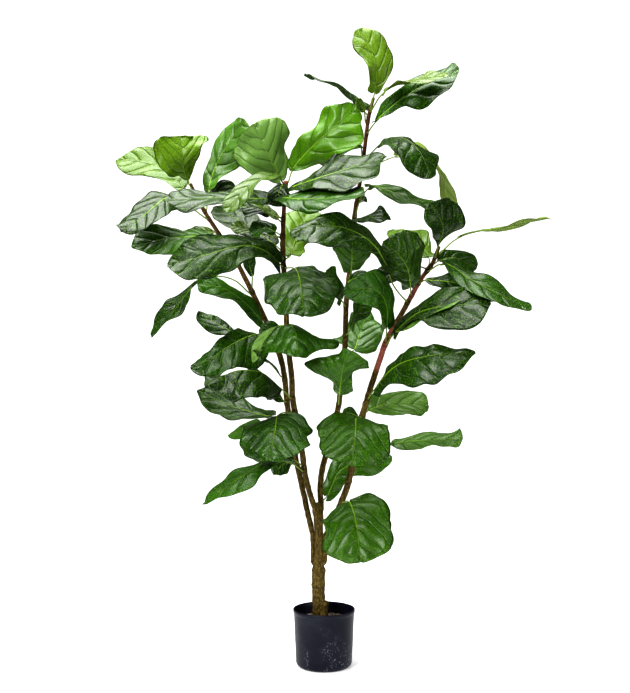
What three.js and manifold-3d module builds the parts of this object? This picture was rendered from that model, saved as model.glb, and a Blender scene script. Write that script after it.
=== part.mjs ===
// Potted fiddle leaf fig, in millimetres, +Z up. The origin is the centre of the pot's flat base.
import * as THREE from 'three';
import { mergeVertices } from 'three/addons/utils/BufferGeometryUtils.js';
import Module from 'manifold-3d';

// ---- Driving dimensions ----

const GAP = 0.3;                     // clear space between two pieces that touch

const POT_HEIGHT = 134.8;
const POT_BASE_RADIUS = 66;          // just above the rounded bottom corner
const POT_MOUTH_RADIUS = 71.2;       // under the lip
const POT_CORNER_RADIUS = 13;
const POT_WALL = 1.8;
const LIP_HEIGHT = 7.5;
const LIP_OUTSET = 1.5;
const POT_SEGMENTS = 40;

const SOIL_DEPTH_BELOW_RIM = 22.5;
const SOIL_MOUND = 3;                // how far the middle of the filling stands above its edge
const ROOT_Z = 52;                   // the trunk's foot, inside the filling

const STEM_SIDES = 10;
const STEM_STEP = 44;                // spacing of the rings along a stem
const STEM_TIP_RADIUS = 2.6;

const STALK_RADIUS = 1.7;            // leaf stalk
const STALK_CHANNEL = 0.6;           // the stalk's upper side lies in, by this share of its radius
const STALK_CLEARANCE = 1.4;         // from the stem's skin to the centre of the stalk's foot
const RIB_THICKNESS = 2.2;           // blade at its midrib
const BLADE_THICKNESS = 1.2;         // blade half-way to its margin

// The arrangement is composed from the front: a point is [across, depth, up], where across and up
// are as seen on the plane of the trunk from a viewpoint in front of it, and depth is behind that
// plane. Each point is carried along its own line of sight to its depth.
const VIEWPOINT = { across: -21.2, up: 750.7, distance: 2550 };
const DEPTH_SPREAD = 1.4;            // the crown is this many times as deep as its points are given

function inSpace([across, drawnDepth, up]) {
  const depth = DEPTH_SPREAD * drawnDepth;
  const spread = 1 + depth / VIEWPOINT.distance;
  return new THREE.Vector3(
    VIEWPOINT.across + (across - VIEWPOINT.across) * spread,
    depth,
    VIEWPOINT.up + (up - VIEWPOINT.up) * spread,
  );
}

// ---- Materials ----

const plain = (color, roughness, metalness = 0) =>
  new THREE.MeshStandardMaterial({ color, roughness, metalness });

const MATERIALS = {
  pot: plain(0x24262e, 0.45),
  filling: plain(0x6b6156, 0.95),
  bark: plain(0x5c4a2c, 0.85),
  mature: plain(0x24501a, 0.5),
  young: plain(0x7fa436, 0.5),
};

// ---- Ring lofts ----

// One closed skin over rings of equal count, each ring a list of points going anticlockwise
// seen from its far end, with a single point closing each end. The two halves of the sides are
// cut along mirrored diagonals, so that both faces of a thin blade bend alike.
function loft(rings, first, last) {
  const sides = rings[0].length;
  const points = [...rings.flat(), first, last];
  const firstIndex = rings.length * sides;
  const lastIndex = firstIndex + 1;
  const faces = [];
  for (let side = 0; side < sides; side += 1) {
    const next = (side + 1) % sides;
    faces.push(firstIndex, next, side);
    for (let ring = 0; ring < rings.length - 1; ring += 1) {
      const low = ring * sides;
      const high = low + sides;
      if (side < sides / 2) {
        faces.push(low + side, low + next, high + next);
        faces.push(low + side, high + next, high + side);
      } else {
        faces.push(low + side, low + next, high + side);
        faces.push(low + next, high + next, high + side);
      }
    }
    const end = (rings.length - 1) * sides;
    faces.push(lastIndex, end + side, end + next);
  }
  const geometry = new THREE.BufferGeometry();
  geometry.setAttribute(
    'position',
    new THREE.Float32BufferAttribute(points.flatMap((point) => point.toArray()), 3),
  );
  geometry.setIndex(faces);
  geometry.computeVertexNormals();
  return geometry;
}

// A vector with its part along the unit vector removed, at length one.
function squareTo(vector, unit) {
  return vector.clone().addScaledVector(unit, -vector.dot(unit)).normalize();
}

// ---- Trunk and stems ----

// points: [across, depth, up, radius] from the foot to the top.
const TRUNK = [
  [-10, 0, ROOT_Z, 14], [-11, 0, 100, 15], [-12, 0, 130, 15.2], [-13, 0, 190, 15],
  [-13, 0, 222, 16.2], [-13, 0, 236, 15.4], [-12, 0, 248, 10.8], [-12, 0, 300, 10.4],
  [-13, 0, 340, 11], [-14.5, 0, 366, 13],
];

const STEMS = {
  far_left: [
    [-28.6, 2, 251, 5.2], [-30.5, 3, 300, 6], [-42, 8, 378, 6.6], [-61, 18, 463, 6.6],
    [-72, 24, 520, 6.5], [-87, 32, 618, 6.6], [-93, 38, 680, 6.4], [-101, 42, 720, 6.6],
    [-120, 46, 770, 6.4], [-150, 52, 840, 6.2], [-180, 56, 900, 6], [-208, 58, 955, 5.4],
    [-250, 56, 1020, 5], [-288, 52, 1080, 4.6], [-314, 48, 1132, 4.2],
  ],
  left: [
    [-22, -5, 371, 6.2], [-36, -10, 415, 6.6], [-47, -14, 463, 6.8], [-53, -19, 519, 6.6],
    [-73, -28, 620, 6.6], [-76, -33, 677, 6.6], [-81, -37, 721, 6.4], [-87, -42, 780, 6.2],
    [-89, -46, 840, 6], [-95, -50, 940, 5.6], [-97, -50, 1000, 5.2], [-95, -48, 1060, 4.8],
    [-90, -45, 1138, 4.2],
  ],
  centre: [
    [-6.5, 5, 371, 6.4], [-9, 10, 425, 6.8], [0, 15, 479, 7], [16, 20, 535, 6.8],
    [32, 25, 600, 6.6], [45, 30, 700, 6.6], [50, 35, 770, 6.4], [52, 38, 850, 6.2],
    [60, 40, 925, 6], [66, 40, 1000, 5.8], [72, 40, 1060, 5.4], [82, 40, 1120, 5],
    [97, 36, 1225, 4.6], [104, 32, 1285, 4.2], [116, 28, 1334, 3.8],
  ],
  right: [
    [4.4, -2, 251, 5.2], [7, -4, 290, 6.2], [21, -9, 335, 6.6], [44, -18, 393, 6.8],
    [60, -24, 438, 8.4], [64, -26, 462, 7], [76, -30, 520, 6.8], [90, -35, 587, 6.8],
    [104, -38, 635, 6.8], [127, -40, 707, 6.6], [148, -40, 766, 6.4], [178, -38, 820, 6],
    [207, -36, 872, 5.6], [232, -32, 915, 5], [256, -27, 948, 4.6], [270, -20, 984, 4],
  ],
};

// A stem's centre line and its radius anywhere along it.
class StemShape {
  constructor(rows) {
    this.curve = new THREE.CatmullRomCurve3(rows.map(inSpace), false, 'centripetal');
    this.radii = rows.map((row) => row[3]);
  }

  radius(t) {
    const place = Math.min(Math.max(t, 0), 1) * (this.radii.length - 1);
    const index = Math.min(Math.floor(place), this.radii.length - 2);
    return THREE.MathUtils.lerp(this.radii[index], this.radii[index + 1], place - index);
  }

  // The curve parameter whose point is at this height above the ground.
  atHeight(height) {
    let low = 0;
    let high = 1;
    for (let step = 0; step < 30; step += 1) {
      const middle = (low + high) / 2;
      if (this.curve.getPoint(middle).z < height) low = middle;
      else high = middle;
    }
    return (low + high) / 2;
  }

  geometry(sides, step) {
    const count = Math.round(this.curve.getLength() / step);
    const rings = [];
    let across = new THREE.Vector3(1, 0, 0);
    for (let index = 0; index <= count; index += 1) {
      const t = this.curve.getUtoTmapping(index / count);
      const centre = this.curve.getPoint(t);
      const along = this.curve.getTangent(t);
      across = squareTo(across, along);
      const away = new THREE.Vector3().crossVectors(along, across);
      const ring = [];
      for (let side = 0; side < sides; side += 1) {
        const angle = (2 * Math.PI * side) / sides;
        const reach = this.radius(t);
        ring.push(centre.clone()
          .addScaledVector(across, reach * Math.cos(angle))
          .addScaledVector(away, reach * Math.sin(angle)));
      }
      rings.push(ring);
    }
    const start = this.curve.getPoint(0).addScaledVector(this.curve.getTangent(0), -GAP);
    const end = this.curve.getPoint(1).addScaledVector(this.curve.getTangent(1), STEM_TIP_RADIUS);
    return loft(rings, start, end);
  }
}

// ---- Leaves ----

// Where the rings of a blade stand along its midrib, as shares of its length. The blade's half
// width is JOINT_HALF at the first, and the outlines give it at the others, as shares of half the
// greatest width. The blunt lobes at the base reach back by EAR.
const STATIONS = [0, 0.03, 0.14, 0.32, 0.52, 0.70, 0.86, 0.96];
const JOINT_HALF = 2.6;
const FIDDLE = [0.42, 0.58, 0.64, 0.88, 1.00, 0.84, 0.48];
const ROUND = [0.52, 0.84, 0.97, 1.00, 0.96, 0.80, 0.46];
const LONG = [0.30, 0.52, 0.70, 0.92, 1.00, 0.82, 0.42];
const EAR = 0.05;
const HALF_WAY = 0.55;               // the place across each half where the blade has its own points
const WAVES = 1.7;                   // waves along each margin
const SWAY = 0.05;                   // how far the margin sways, as a share of the half width

// Every leaf has: at, the height on its stem where it grows; stalk, extra points of a long
// stalk; rib, the midrib's points from the blade's base to its tip; face, roughly where the
// blade's upper side looks at mid length; width and shape, or the half widths left and right of
// the midrib at each station after the first; fold, the rise of the left and right halves
// towards the upper side, as a slope.
const LEAVES = {
  far_left: [
    { at: 575, rib: [[-132, 75, 550], [-178, 130, 554], [-222, 162, 545]], face: [0, -0.75, 0.65],
      width: 74, shape: LONG },
    { at: 588, rib: [[-125, 70, 586], [-190, 100, 602], [-245, 116, 622], [-298, 125, 648]],
      face: [0.3, -0.55, 0.78], width: 92, fold: [-0.2, 0.2], shape: LONG },
    { at: 762, rib: [[-190, 85, 776], [-242, 110, 799], [-290, 130, 833]], face: [0.3, -0.75, 0.6],
      left: [10, 18, 24, 30, 35, 34, 20], right: [8, 12, 14, 14, 13, 9, 5] },
    { at: 775, rib: [[-160, 0, 780], [-224, -42, 751], [-268, -62, 720], [-314, -78, 698]],
      face: [-0.1, -0.85, 0.5], left: [36, 66, 72, 68, 56, 36, 18], right: [14, 22, 27, 27, 24, 18, 9],
      fold: [-0.1, 0.15] },
    { at: 792, rib: [[-148, 30, 812], [-182, 20, 850], [-228, 4, 884], [-298, -16, 900]],
      face: [0.5, -0.5, 0.7], width: 82, shape: FIDDLE },
    { at: 880, stalk: [[-225, 35, 914]], rib: [[-294, 8, 904], [-345, -18, 844], [-406, -30, 772]],
      face: [-0.62, -0.55, 0.55], width: 84, fold: [0.2, 0.2], shape: LONG },
    { at: 985, rib: [[-270, 26, 1006], [-355, 5, 1006], [-452, -25, 984]], face: [0, -0.75, 0.65],
      width: 96, fold: [-0.1, 0.1], shape: FIDDLE },
    { at: 1062, rib: [[-358, 18, 1102], [-420, -28, 1062], [-474, -58, 1020]],
      face: [-0.3, -0.8, 0.5], width: 92, fold: [-0.15, 0.1], shape: ROUND },
    { at: 1078, rib: [[-270, 66, 1126], [-252, 82, 1182], [-222, 80, 1232], [-186, 66, 1284]],
      face: [-0.3, -0.9, 0.2], left: [15, 21, 24, 32, 36, 30, 17],
      right: [18, 28, 40, 54, 60, 50, 28] },
    { at: 1108, rib: [[-330, 52, 1126], [-402, 78, 1178], [-486, 95, 1190]], face: [0, -0.75, 0.65],
      width: 104, shape: FIDDLE, young: true },
    { at: 1120, rib: [[-323, 30, 1144], [-332, 0, 1192], [-340, 4, 1246]], face: [0.1, -0.95, 0.2],
      left: [12, 24, 42, 58, 66, 62, 42], right: [10, 18, 28, 34, 42, 62, 66], fold: [0.1, -0.1],
      young: true },
  ],
  left: [
    { at: 462, rib: [[-80, -58, 478], [-125, -98, 484], [-182, -130, 452], [-285, -160, 380]],
      face: [-0.3, -0.6, 0.75], width: 82, fold: [0.1, -0.3], shape: LONG },
    { at: 600, rib: [[-108, -96, 590], [-115, -150, 552], [-130, -180, 482]],
      face: [-0.1, -0.85, 0.5], width: 156, fold: [-0.1, -0.15], shape: ROUND },
    { at: 632, rib: [[-104, -72, 655], [-150, -112, 690], [-206, -134, 692], [-282, -150, 662]],
      face: [0, -0.45, 0.9], left: [20, 44, 58, 64, 60, 44, 22], right: [14, 26, 34, 38, 36, 28, 14],
      fold: [-0.6, -0.5] },
    { at: 762, rib: [[-90, -70, 784], [-82, -104, 804], [-66, -140, 782], [-58, -152, 726]],
      face: [0, -0.5, 0.85], left: [14, 24, 44, 84, 92, 60, 24], right: [14, 22, 38, 68, 84, 58, 22],
      fold: [-0.75, -0.6] },
    { at: 930, rib: [[-68, -92, 934], [-54, -160, 892], [-46, -190, 822]], face: [0, -0.85, 0.55],
      width: 160, fold: [-0.1, -0.1], shape: ROUND },
    { at: 934, rib: [[-108, -78, 948], [-152, -106, 984], [-212, -126, 984], [-290, -132, 962],
      [-368, -128, 942]], face: [0, -0.8, 0.6], width: 122, fold: [-0.05, 0.05], shape: FIDDLE },
    { at: 950, rib: [[-78, -20, 966], [-62, 40, 1020], [-34, 90, 1074]], face: [0.2, -0.85, 0.5],
      width: 98, shape: FIDDLE, young: true },
    { at: 970, rib: [[-120, -15, 994], [-182, 32, 1036], [-258, 72, 1080]],
      face: [-0.1, -0.7, 0.7], width: 84, shape: FIDDLE },
    { at: 1080, rib: [[-128, -62, 1096], [-245, -84, 1100], [-372, -95, 1094]],
      face: [0, -0.5, 0.86], width: 104, shape: LONG },
    { at: 1086, rib: [[-98, -92, 1100], [-18, -138, 1098], [96, -166, 1108]], face: [0, -0.7, 0.7],
      width: 112, fold: [-0.1, 0.1], shape: FIDDLE },
    { at: 1104, rib: [[-78, -74, 1124], [-9, -102, 1148], [72, -118, 1174], [146, -124, 1198]],
      face: [-0.1, -0.65, 0.75], left: [16, 34, 42, 46, 44, 34, 20],
      right: [14, 30, 44, 62, 78, 78, 42] },
    { at: 1118, rib: [[-112, -92, 1152], [-172, -130, 1130], [-228, -160, 1066]],
      face: [-0.4, -0.7, 0.6], width: 68, fold: [0.2, 0.2], shape: LONG, young: true },
    { at: 1122, rib: [[-104, -18, 1146], [-130, -50, 1198], [-168, -64, 1274]],
      face: [-0.1, -0.95, 0.3], left: [13, 26, 56, 74, 72, 54, 30], right: [11, 18, 36, 57, 67, 62, 37] },
    { at: 1130, rib: [[-72, -40, 1170], [-31, -60, 1217], [22, -74, 1266], [76, -74, 1316]],
      face: [0.25, -0.9, 0.35], left: [14, 28, 38, 44, 44, 36, 20],
      right: [16, 34, 46, 66, 70, 52, 28] },
  ],
  centre: [
    { at: 385, rib: [[8, 55, 400], [40, 92, 460], [95, 120, 482], [160, 140, 492]],
      face: [-0.2, -0.9, 0.35], width: 86, shape: LONG },
    { at: 612, rib: [[36, -60, 638], [43, -105, 690], [53, -115, 747]], face: [0, -0.95, 0.3],
      left: [16, 26, 34, 92, 64, 26, 12], right: [18, 26, 28, 38, 60, 36, 16], fold: [-0.3, -0.3] },
    { at: 735, rib: [[72, 75, 744], [83, 108, 778], [106, 136, 838]], face: [-0.1, -0.85, 0.5],
      left: [30, 54, 60, 48, 36, 24, 13], right: [26, 52, 60, 56, 44, 30, 15] },
    { at: 778, rib: [[64, 5, 794], [78, -18, 830], [115, -38, 866]], face: [-0.7, -0.6, 0.3],
      width: 58, shape: LONG },
    { at: 848, rib: [[40, -10, 862], [25, -55, 895], [5, -75, 928]], face: [0.2, -0.9, 0.4],
      width: 68, shape: FIDDLE },
    { at: 914, rib: [[64, 5, 930], [66, -32, 972], [64, -48, 1022]], face: [0, -0.95, 0.3],
      width: 90, shape: FIDDLE },
    { at: 1032, rib: [[78, 0, 1046], [104, -42, 1058], [134, -72, 1042]], face: [0.1, -0.8, 0.6],
      width: 84, shape: ROUND },
    { at: 1062, stalk: [[86, 8, 1098]], rib: [[108, -8, 1128], [165, -28, 1112], [222, -40, 1093],
      [284, -44, 1068]], face: [0.3, -0.55, 0.78], width: 88, shape: FIDDLE },
    { at: 1175, rib: [[172, 85, 1200], [235, 105, 1214], [272, 112, 1160], [308, 112, 1060]],
      face: [0.75, -0.5, 0.5], width: 84, shape: LONG, young: true },
    { at: 1200, rib: [[148, -5, 1238], [190, -45, 1240], [228, -78, 1205], [252, -92, 1146]],
      face: [0.25, -0.7, 0.7], left: [28, 38, 40, 42, 38, 26, 14], right: [24, 46, 58, 60, 54, 40, 22],
      fold: [-0.3, -0.2] },
    { at: 1205, rib: [[84, 20, 1224], [45, 5, 1216], [-12, 10, 1184]], face: [0, -0.6, 0.8],
      width: 78, shape: FIDDLE },
    { at: 1262, rib: [[124, -5, 1282], [176, -40, 1328], [245, -66, 1370], [318, -80, 1402]],
      face: [-0.3, -0.8, 0.5], left: [18, 32, 34, 34, 38, 35, 22], right: [10, 14, 20, 46, 58, 54, 32] },
    { at: 1288, rib: [[92, 35, 1312], [48, 66, 1356], [-47, 92, 1388]], face: [0.47, -0.12, 0.87],
      width: 98, shape: LONG },
    { at: 1312, rib: [[144, -38, 1352], [205, -88, 1377], [296, -122, 1390]], face: [-0.1, -0.4, 0.9],
      width: 82, shape: LONG, young: true },
    { at: 1318, rib: [[120, 6, 1352], [124, -6, 1390], [116, -6, 1436], [83, 6, 1499]],
      face: [0.2, -0.95, 0.2], left: [14, 19, 21, 25, 31, 29, 18], right: [12, 20, 45, 46, 40, 33, 20],
      young: true },
  ],
  right: [
    { at: 392, rib: [[60, -62, 384], [75, -112, 338], [86, -136, 243]], face: [0, -0.92, 0.3],
      width: 160, shape: ROUND },
    { at: 500, rib: [[165, -15, 522], [248, -50, 530], [326, -80, 532]], face: [0.03, -0.52, 0.85],
      width: 96, shape: LONG },
    { at: 588, rib: [[76, -102, 582], [74, -155, 543], [66, -178, 468]], face: [0, -0.9, 0.45],
      width: 154, fold: [-0.1, -0.1], shape: ROUND },
    { at: 590, rib: [[108, 0, 602], [168, 30, 618], [245, 42, 613]], face: [0, -0.62, 0.78],
      width: 104, shape: FIDDLE },
    { at: 632, rib: [[120, -66, 652], [163, -92, 700], [232, -124, 726], [356, -152, 737]],
      face: [0, -0.85, 0.52], left: [10, 16, 20, 24, 26, 20, 10], right: [12, 32, 48, 68, 60, 48, 26] },
    { at: 756, rib: [[168, -72, 784], [226, -110, 832], [302, -136, 847], [393, -146, 852]],
      face: [-0.1, -0.8, 0.6], left: [14, 26, 32, 46, 54, 48, 28], right: [12, 20, 24, 48, 60, 54, 30] },
    { at: 762, rib: [[148, -82, 798], [146, -120, 850], [118, -150, 886], [45, -165, 882]],
      face: [0, -0.95, 0.3], width: 80, shape: LONG },
    { at: 852, stalk: [[163, -112, 895]], rib: [[148, -150, 940], [118, -162, 988], [72, -172, 1022],
      [12, -180, 1034], [-48, -186, 1030], [-78, -190, 1010]], face: [0.1, -0.7, 0.7],
      left: [13, 24, 34, 50, 58, 52, 30], right: [13, 20, 38, 36, 34, 28, 18], fold: [-0.2, 0] },
    { at: 868, rib: [[203, -60, 892], [192, -92, 945], [142, -100, 1000]], face: [0, -0.95, 0.3],
      left: [16, 28, 40, 46, 42, 32, 18], right: [18, 34, 52, 62, 64, 50, 28] },
    { at: 925, rib: [[282, -62, 946], [345, -102, 908], [415, -132, 872], [488, -152, 837]],
      face: [0.38, -0.65, 0.65], width: 92, shape: LONG },
    { at: 935, rib: [[246, 18, 962], [210, 88, 1000], [160, 130, 1026]], face: [0.1, -0.8, 0.6],
      width: 96, shape: FIDDLE, young: true },
    { at: 955, rib: [[270, -46, 990], [280, -88, 1035], [250, -108, 1088]], face: [0.1, -0.95, 0.3],
      left: [10, 18, 26, 38, 38, 28, 15], right: [12, 38, 50, 54, 50, 38, 20] },
    { at: 968, rib: [[322, -8, 1010], [430, 20, 1033], [532, 40, 1052]], face: [-0.1, 0.1, 0.98],
      width: 84, shape: LONG, young: true },
  ],
};

const STALK_RINGS = 3;

// One leaf, stalk and blade in one skin of eight-point rings. The points of a ring go left
// margin, left top, top, right top, right margin, right under, under, left under.
function leafGeometry(leaf, stem, number) {
  const onStem = stem.atHeight(leaf.at);
  const foot = stem.curve.getPoint(onStem);
  const outer = [...(leaf.stalk ?? []), ...leaf.rib].map(inSpace);
  const outward = squareTo(outer[0].clone().sub(foot), stem.curve.getTangent(onStem));
  const start = foot.clone().addScaledVector(outward, stem.radius(onStem) + STALK_CLEARANCE);
  const points = [start, ...outer];
  const curve = new THREE.CatmullRomCurve3(points, false, 'centripetal');
  const baseT = (points.length - leaf.rib.length) / (points.length - 1);

  const SAMPLES = 200;
  const lengths = curve.getLengths(SAMPLES);
  const total = lengths[SAMPLES];
  const baseShare = lengths[Math.round(baseT * SAMPLES)] / total;
  const bladeLength = total * (1 - baseShare);

  const places = [];
  for (let ring = 0; ring < STALK_RINGS; ring += 1) {
    places.push({ u: (baseShare * ring) / STALK_RINGS, along: 0 });
  }
  const halves = leaf.shape?.map((share) => (share * leaf.width) / 2);
  const left = [JOINT_HALF, ...(leaf.left ?? halves)];
  const right = [JOINT_HALF, ...(leaf.right ?? halves)];
  STATIONS.forEach((share, index) => {
    places.push({
      u: baseShare + (1 - baseShare) * share, along: share, left: left[index], right: right[index],
    });
  });

  const middle = STALK_RINGS + 4;
  const tangents = places.map((place) => curve.getTangentAt(place.u));
  const faces = [];
  faces[middle] = squareTo(new THREE.Vector3(...leaf.face), tangents[middle]);
  for (let ring = middle + 1; ring < places.length; ring += 1) {
    faces[ring] = squareTo(faces[ring - 1], tangents[ring]);
  }
  for (let ring = middle - 1; ring >= 0; ring -= 1) {
    faces[ring] = squareTo(faces[ring + 1], tangents[ring]);
  }

  const [foldLeft, foldRight] = leaf.fold ?? [0, 0];
  const rings = places.map((place, ring) => {
    const { along } = place;
    const centre = curve.getPointAt(place.u);
    const tangent = tangents[ring];
    const up = faces[ring];
    const aside = new THREE.Vector3().crossVectors(tangent, up);
    if (!place.left) {
      return Array.from({ length: 8 }, (_, corner) => {
        const angle = (corner * Math.PI) / 4;
        const reach = STALK_RADIUS * (corner === 2 ? STALK_CHANNEL : 1);
        return centre.clone()
          .addScaledVector(aside, -reach * Math.cos(angle))
          .addScaledVector(up, reach * Math.sin(angle));
      });
    }
    const back = EAR * bladeLength * Math.max(0, 1 - along / 0.3);
    const across = (share, lift) => {
      const side = Math.sign(share);
      const half = side > 0 ? place.right : place.left;
      const slope = side > 0 ? foldRight : foldLeft;
      const swing = Math.sin(2 * Math.PI * (WAVES * along + 0.37 * number + 0.23 * side));
      const rise = (slope * Math.abs(share) + SWAY * swing * share * share) * half;
      return centre.clone()
        .addScaledVector(aside, share * half)
        .addScaledVector(up, rise + lift)
        .addScaledVector(tangent, -back * Math.abs(share));
    };
    const rib = RIB_THICKNESS / 2;
    const skin = BLADE_THICKNESS / 2;
    return [
      across(-1, 0), across(-HALF_WAY, skin), across(0, rib), across(HALF_WAY, skin),
      across(1, 0), across(HALF_WAY, -skin), across(0, -rib), across(-HALF_WAY, -skin),
    ];
  });
  const first = curve.getPointAt(0).addScaledVector(tangents[0], -GAP);
  const last = curve.getPointAt(1);
  return loft(rings, first, last);
}

// ---- Pot and filling ----

function arc(x, y, radius, from, to, steps) {
  return Array.from({ length: steps + 1 }, (_, step) => {
    const angle = THREE.MathUtils.degToRad(from + ((to - from) * step) / steps);
    return new THREE.Vector2(x + radius * Math.cos(angle), y + radius * Math.sin(angle));
  });
}

// Lathes turn about Y, so the finished shape is stood up along Z.
function turned(profile, segments) {
  return new THREE.LatheGeometry(profile, segments).rotateX(Math.PI / 2);
}

function potRadius(height) {
  return THREE.MathUtils.mapLinear(
    height, POT_CORNER_RADIUS, POT_HEIGHT, POT_BASE_RADIUS, POT_MOUTH_RADIUS);
}

function potGeometry() {
  const lipFoot = POT_HEIGHT - LIP_HEIGHT;
  const lip = POT_MOUTH_RADIUS + LIP_OUTSET;
  const corner = POT_BASE_RADIUS - POT_CORNER_RADIUS;
  const inner = POT_CORNER_RADIUS - POT_WALL;
  return turned([
    new THREE.Vector2(0, 0),
    ...arc(corner, POT_CORNER_RADIUS, POT_CORNER_RADIUS, -90, 0, 4),
    new THREE.Vector2(potRadius(lipFoot - 1), lipFoot - 1),
    new THREE.Vector2(lip, lipFoot),
    new THREE.Vector2(lip, POT_HEIGHT - 1),
    new THREE.Vector2(lip - 1, POT_HEIGHT),
    new THREE.Vector2(POT_MOUTH_RADIUS - POT_WALL, POT_HEIGHT),
    ...arc(corner, POT_CORNER_RADIUS, inner, 0, -90, 3),
    new THREE.Vector2(0, POT_WALL),
  ], POT_SEGMENTS);
}

function solid(wasm, geometry) {
  const bare = geometry.clone();
  bare.deleteAttribute('normal');
  bare.deleteAttribute('uv');
  const merged = mergeVertices(bare, 1e-3);
  return new wasm.Manifold(new wasm.Mesh({
    numProp: 3,
    vertProperties: new Float32Array(merged.attributes.position.array),
    triVerts: new Uint32Array(merged.index.array),
  }));
}

function fromSolid(manifold) {
  const mesh = manifold.getMesh();
  const geometry = new THREE.BufferGeometry();
  geometry.setAttribute('position', new THREE.BufferAttribute(mesh.vertProperties, 3));
  geometry.setIndex(new THREE.BufferAttribute(mesh.triVerts, 1));
  geometry.computeVertexNormals();
  return geometry;
}

// The filling of the pot, low at its rim and mounded round the trunk, with the trunk's socket cut
// out of it.
function fillingGeometry(wasm) {
  const surface = POT_HEIGHT - SOIL_DEPTH_BELOW_RIM;
  const clear = POT_WALL + GAP;
  const edge = potRadius(surface) - clear;
  const corner = POT_BASE_RADIUS - POT_CORNER_RADIUS;
  const body = turned([
    new THREE.Vector2(0, clear),
    ...arc(corner, POT_CORNER_RADIUS, POT_CORNER_RADIUS - clear, -90, 0, 3),
    new THREE.Vector2(edge, surface),
    new THREE.Vector2(edge * 0.6, surface + SOIL_MOUND * 0.6),
    new THREE.Vector2(0, surface + SOIL_MOUND),
  ], POT_SEGMENTS);
  const socket = new StemShape(TRUNK.map(([x, y, z, radius], index) =>
    [x, y, index === 0 ? z - 1 : z, radius + 2 * GAP])).geometry(12, 24);
  return fromSolid(solid(wasm, body).subtract(solid(wasm, socket)));
}

// ---- The whole plant ----

const plant = new THREE.Group();

function add(name, geometry, material) {
  const mesh = new THREE.Mesh(geometry, material);
  mesh.name = name;
  plant.add(mesh);
}

const wasm = await Module();
wasm.setup();

add('pot', potGeometry(), MATERIALS.pot);
add('filling', fillingGeometry(wasm), MATERIALS.filling);
add('trunk', new StemShape(TRUNK).geometry(12, 24), MATERIALS.bark);

for (const [side, rows] of Object.entries(STEMS)) {
  const stem = new StemShape(rows);
  add(`stem_${side}`, stem.geometry(STEM_SIDES, STEM_STEP), MATERIALS.bark);
  LEAVES[side].forEach((leaf, index) => {
    const number = index + 1;
    const name = `leaf_${side}_${String(number).padStart(2, '0')}`;
    add(name, leafGeometry(leaf, stem, number), leaf.young ? MATERIALS.young : MATERIALS.mature);
  });
}

export default plant;
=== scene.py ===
"""The looks of a potted fiddle leaf fig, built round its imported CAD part.

The CAD part gives every place and size. Each leaf, stem, the trunk, the pot and its filling is
read back from its CAD node, and a finer piece is made over it: veined and waved leaf blades with
their stalks, bark with scars where the leaves grow, a turned pot and loose gravel.
"""

import logging
import math
import zlib
from dataclasses import dataclass, field
from enum import Enum

import bmesh
import bpy
import numpy as np
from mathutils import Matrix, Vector


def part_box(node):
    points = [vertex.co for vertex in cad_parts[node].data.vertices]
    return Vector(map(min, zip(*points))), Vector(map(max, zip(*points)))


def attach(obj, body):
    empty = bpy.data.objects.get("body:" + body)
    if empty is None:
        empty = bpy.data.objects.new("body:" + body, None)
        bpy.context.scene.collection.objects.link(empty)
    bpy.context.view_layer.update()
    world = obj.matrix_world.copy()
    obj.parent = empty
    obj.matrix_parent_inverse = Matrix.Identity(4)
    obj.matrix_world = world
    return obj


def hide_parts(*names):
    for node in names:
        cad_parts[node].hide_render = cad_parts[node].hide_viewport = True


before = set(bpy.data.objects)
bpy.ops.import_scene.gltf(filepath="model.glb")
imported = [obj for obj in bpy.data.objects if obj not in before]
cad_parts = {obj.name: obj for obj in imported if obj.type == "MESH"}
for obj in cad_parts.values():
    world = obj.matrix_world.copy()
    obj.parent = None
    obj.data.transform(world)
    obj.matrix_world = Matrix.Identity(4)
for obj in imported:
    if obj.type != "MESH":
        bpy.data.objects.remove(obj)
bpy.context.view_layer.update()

BODY = "root"
WELD = 5e-5                      # the triangles of a CAD node meet within this distance, in metres
MM = 1000                        # in a metre

log = logging.getLogger("fiddle_leaf_fig")


# ---- Shader maths ----

@dataclass(frozen=True)
class Value:
    """An output socket of a node that takes part in Python expressions."""

    graph: "Graph"
    socket: bpy.types.NodeSocket

    def __add__(self, other: "Value | float") -> "Value":
        """The sum of two values."""
        return self.graph.maths("ADD", self, other)

    def __sub__(self, other: "Value | float") -> "Value":
        """This value less another."""
        return self.graph.maths("SUBTRACT", self, other)

    def __rsub__(self, other: float) -> "Value":
        """A number less this value."""
        return self.graph.maths("SUBTRACT", other, self)

    def __mul__(self, other: "Value | float") -> "Value":
        """The product of two values."""
        return self.graph.maths("MULTIPLY", self, other)

    def __abs__(self) -> "Value":
        """The value without its sign."""
        return self.graph.maths("ABSOLUTE", self)

    def fraction(self) -> "Value":
        """What is left of the value above the whole number below it."""
        return self.graph.maths("FRACT", self)

    def step(self, low: float, high: float, start: float = 0.0, end: float = 1.0) -> "Value":
        """Goes smoothly from start to end as the value goes from low to high.

        Args:
            low: the value up to which the result is start.
            high: the value from which the result is end.
            start: the first result.
            end: the last result.

        Returns:
            The smoothed value.
        """
        node = self.graph.node("MapRange", {"interpolation_type": "SMOOTHSTEP"}, {
            "Value": self, "From Min": low, "From Max": high, "To Min": start, "To Max": end,
        })
        return Value(self.graph, node.outputs["Result"])


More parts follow.
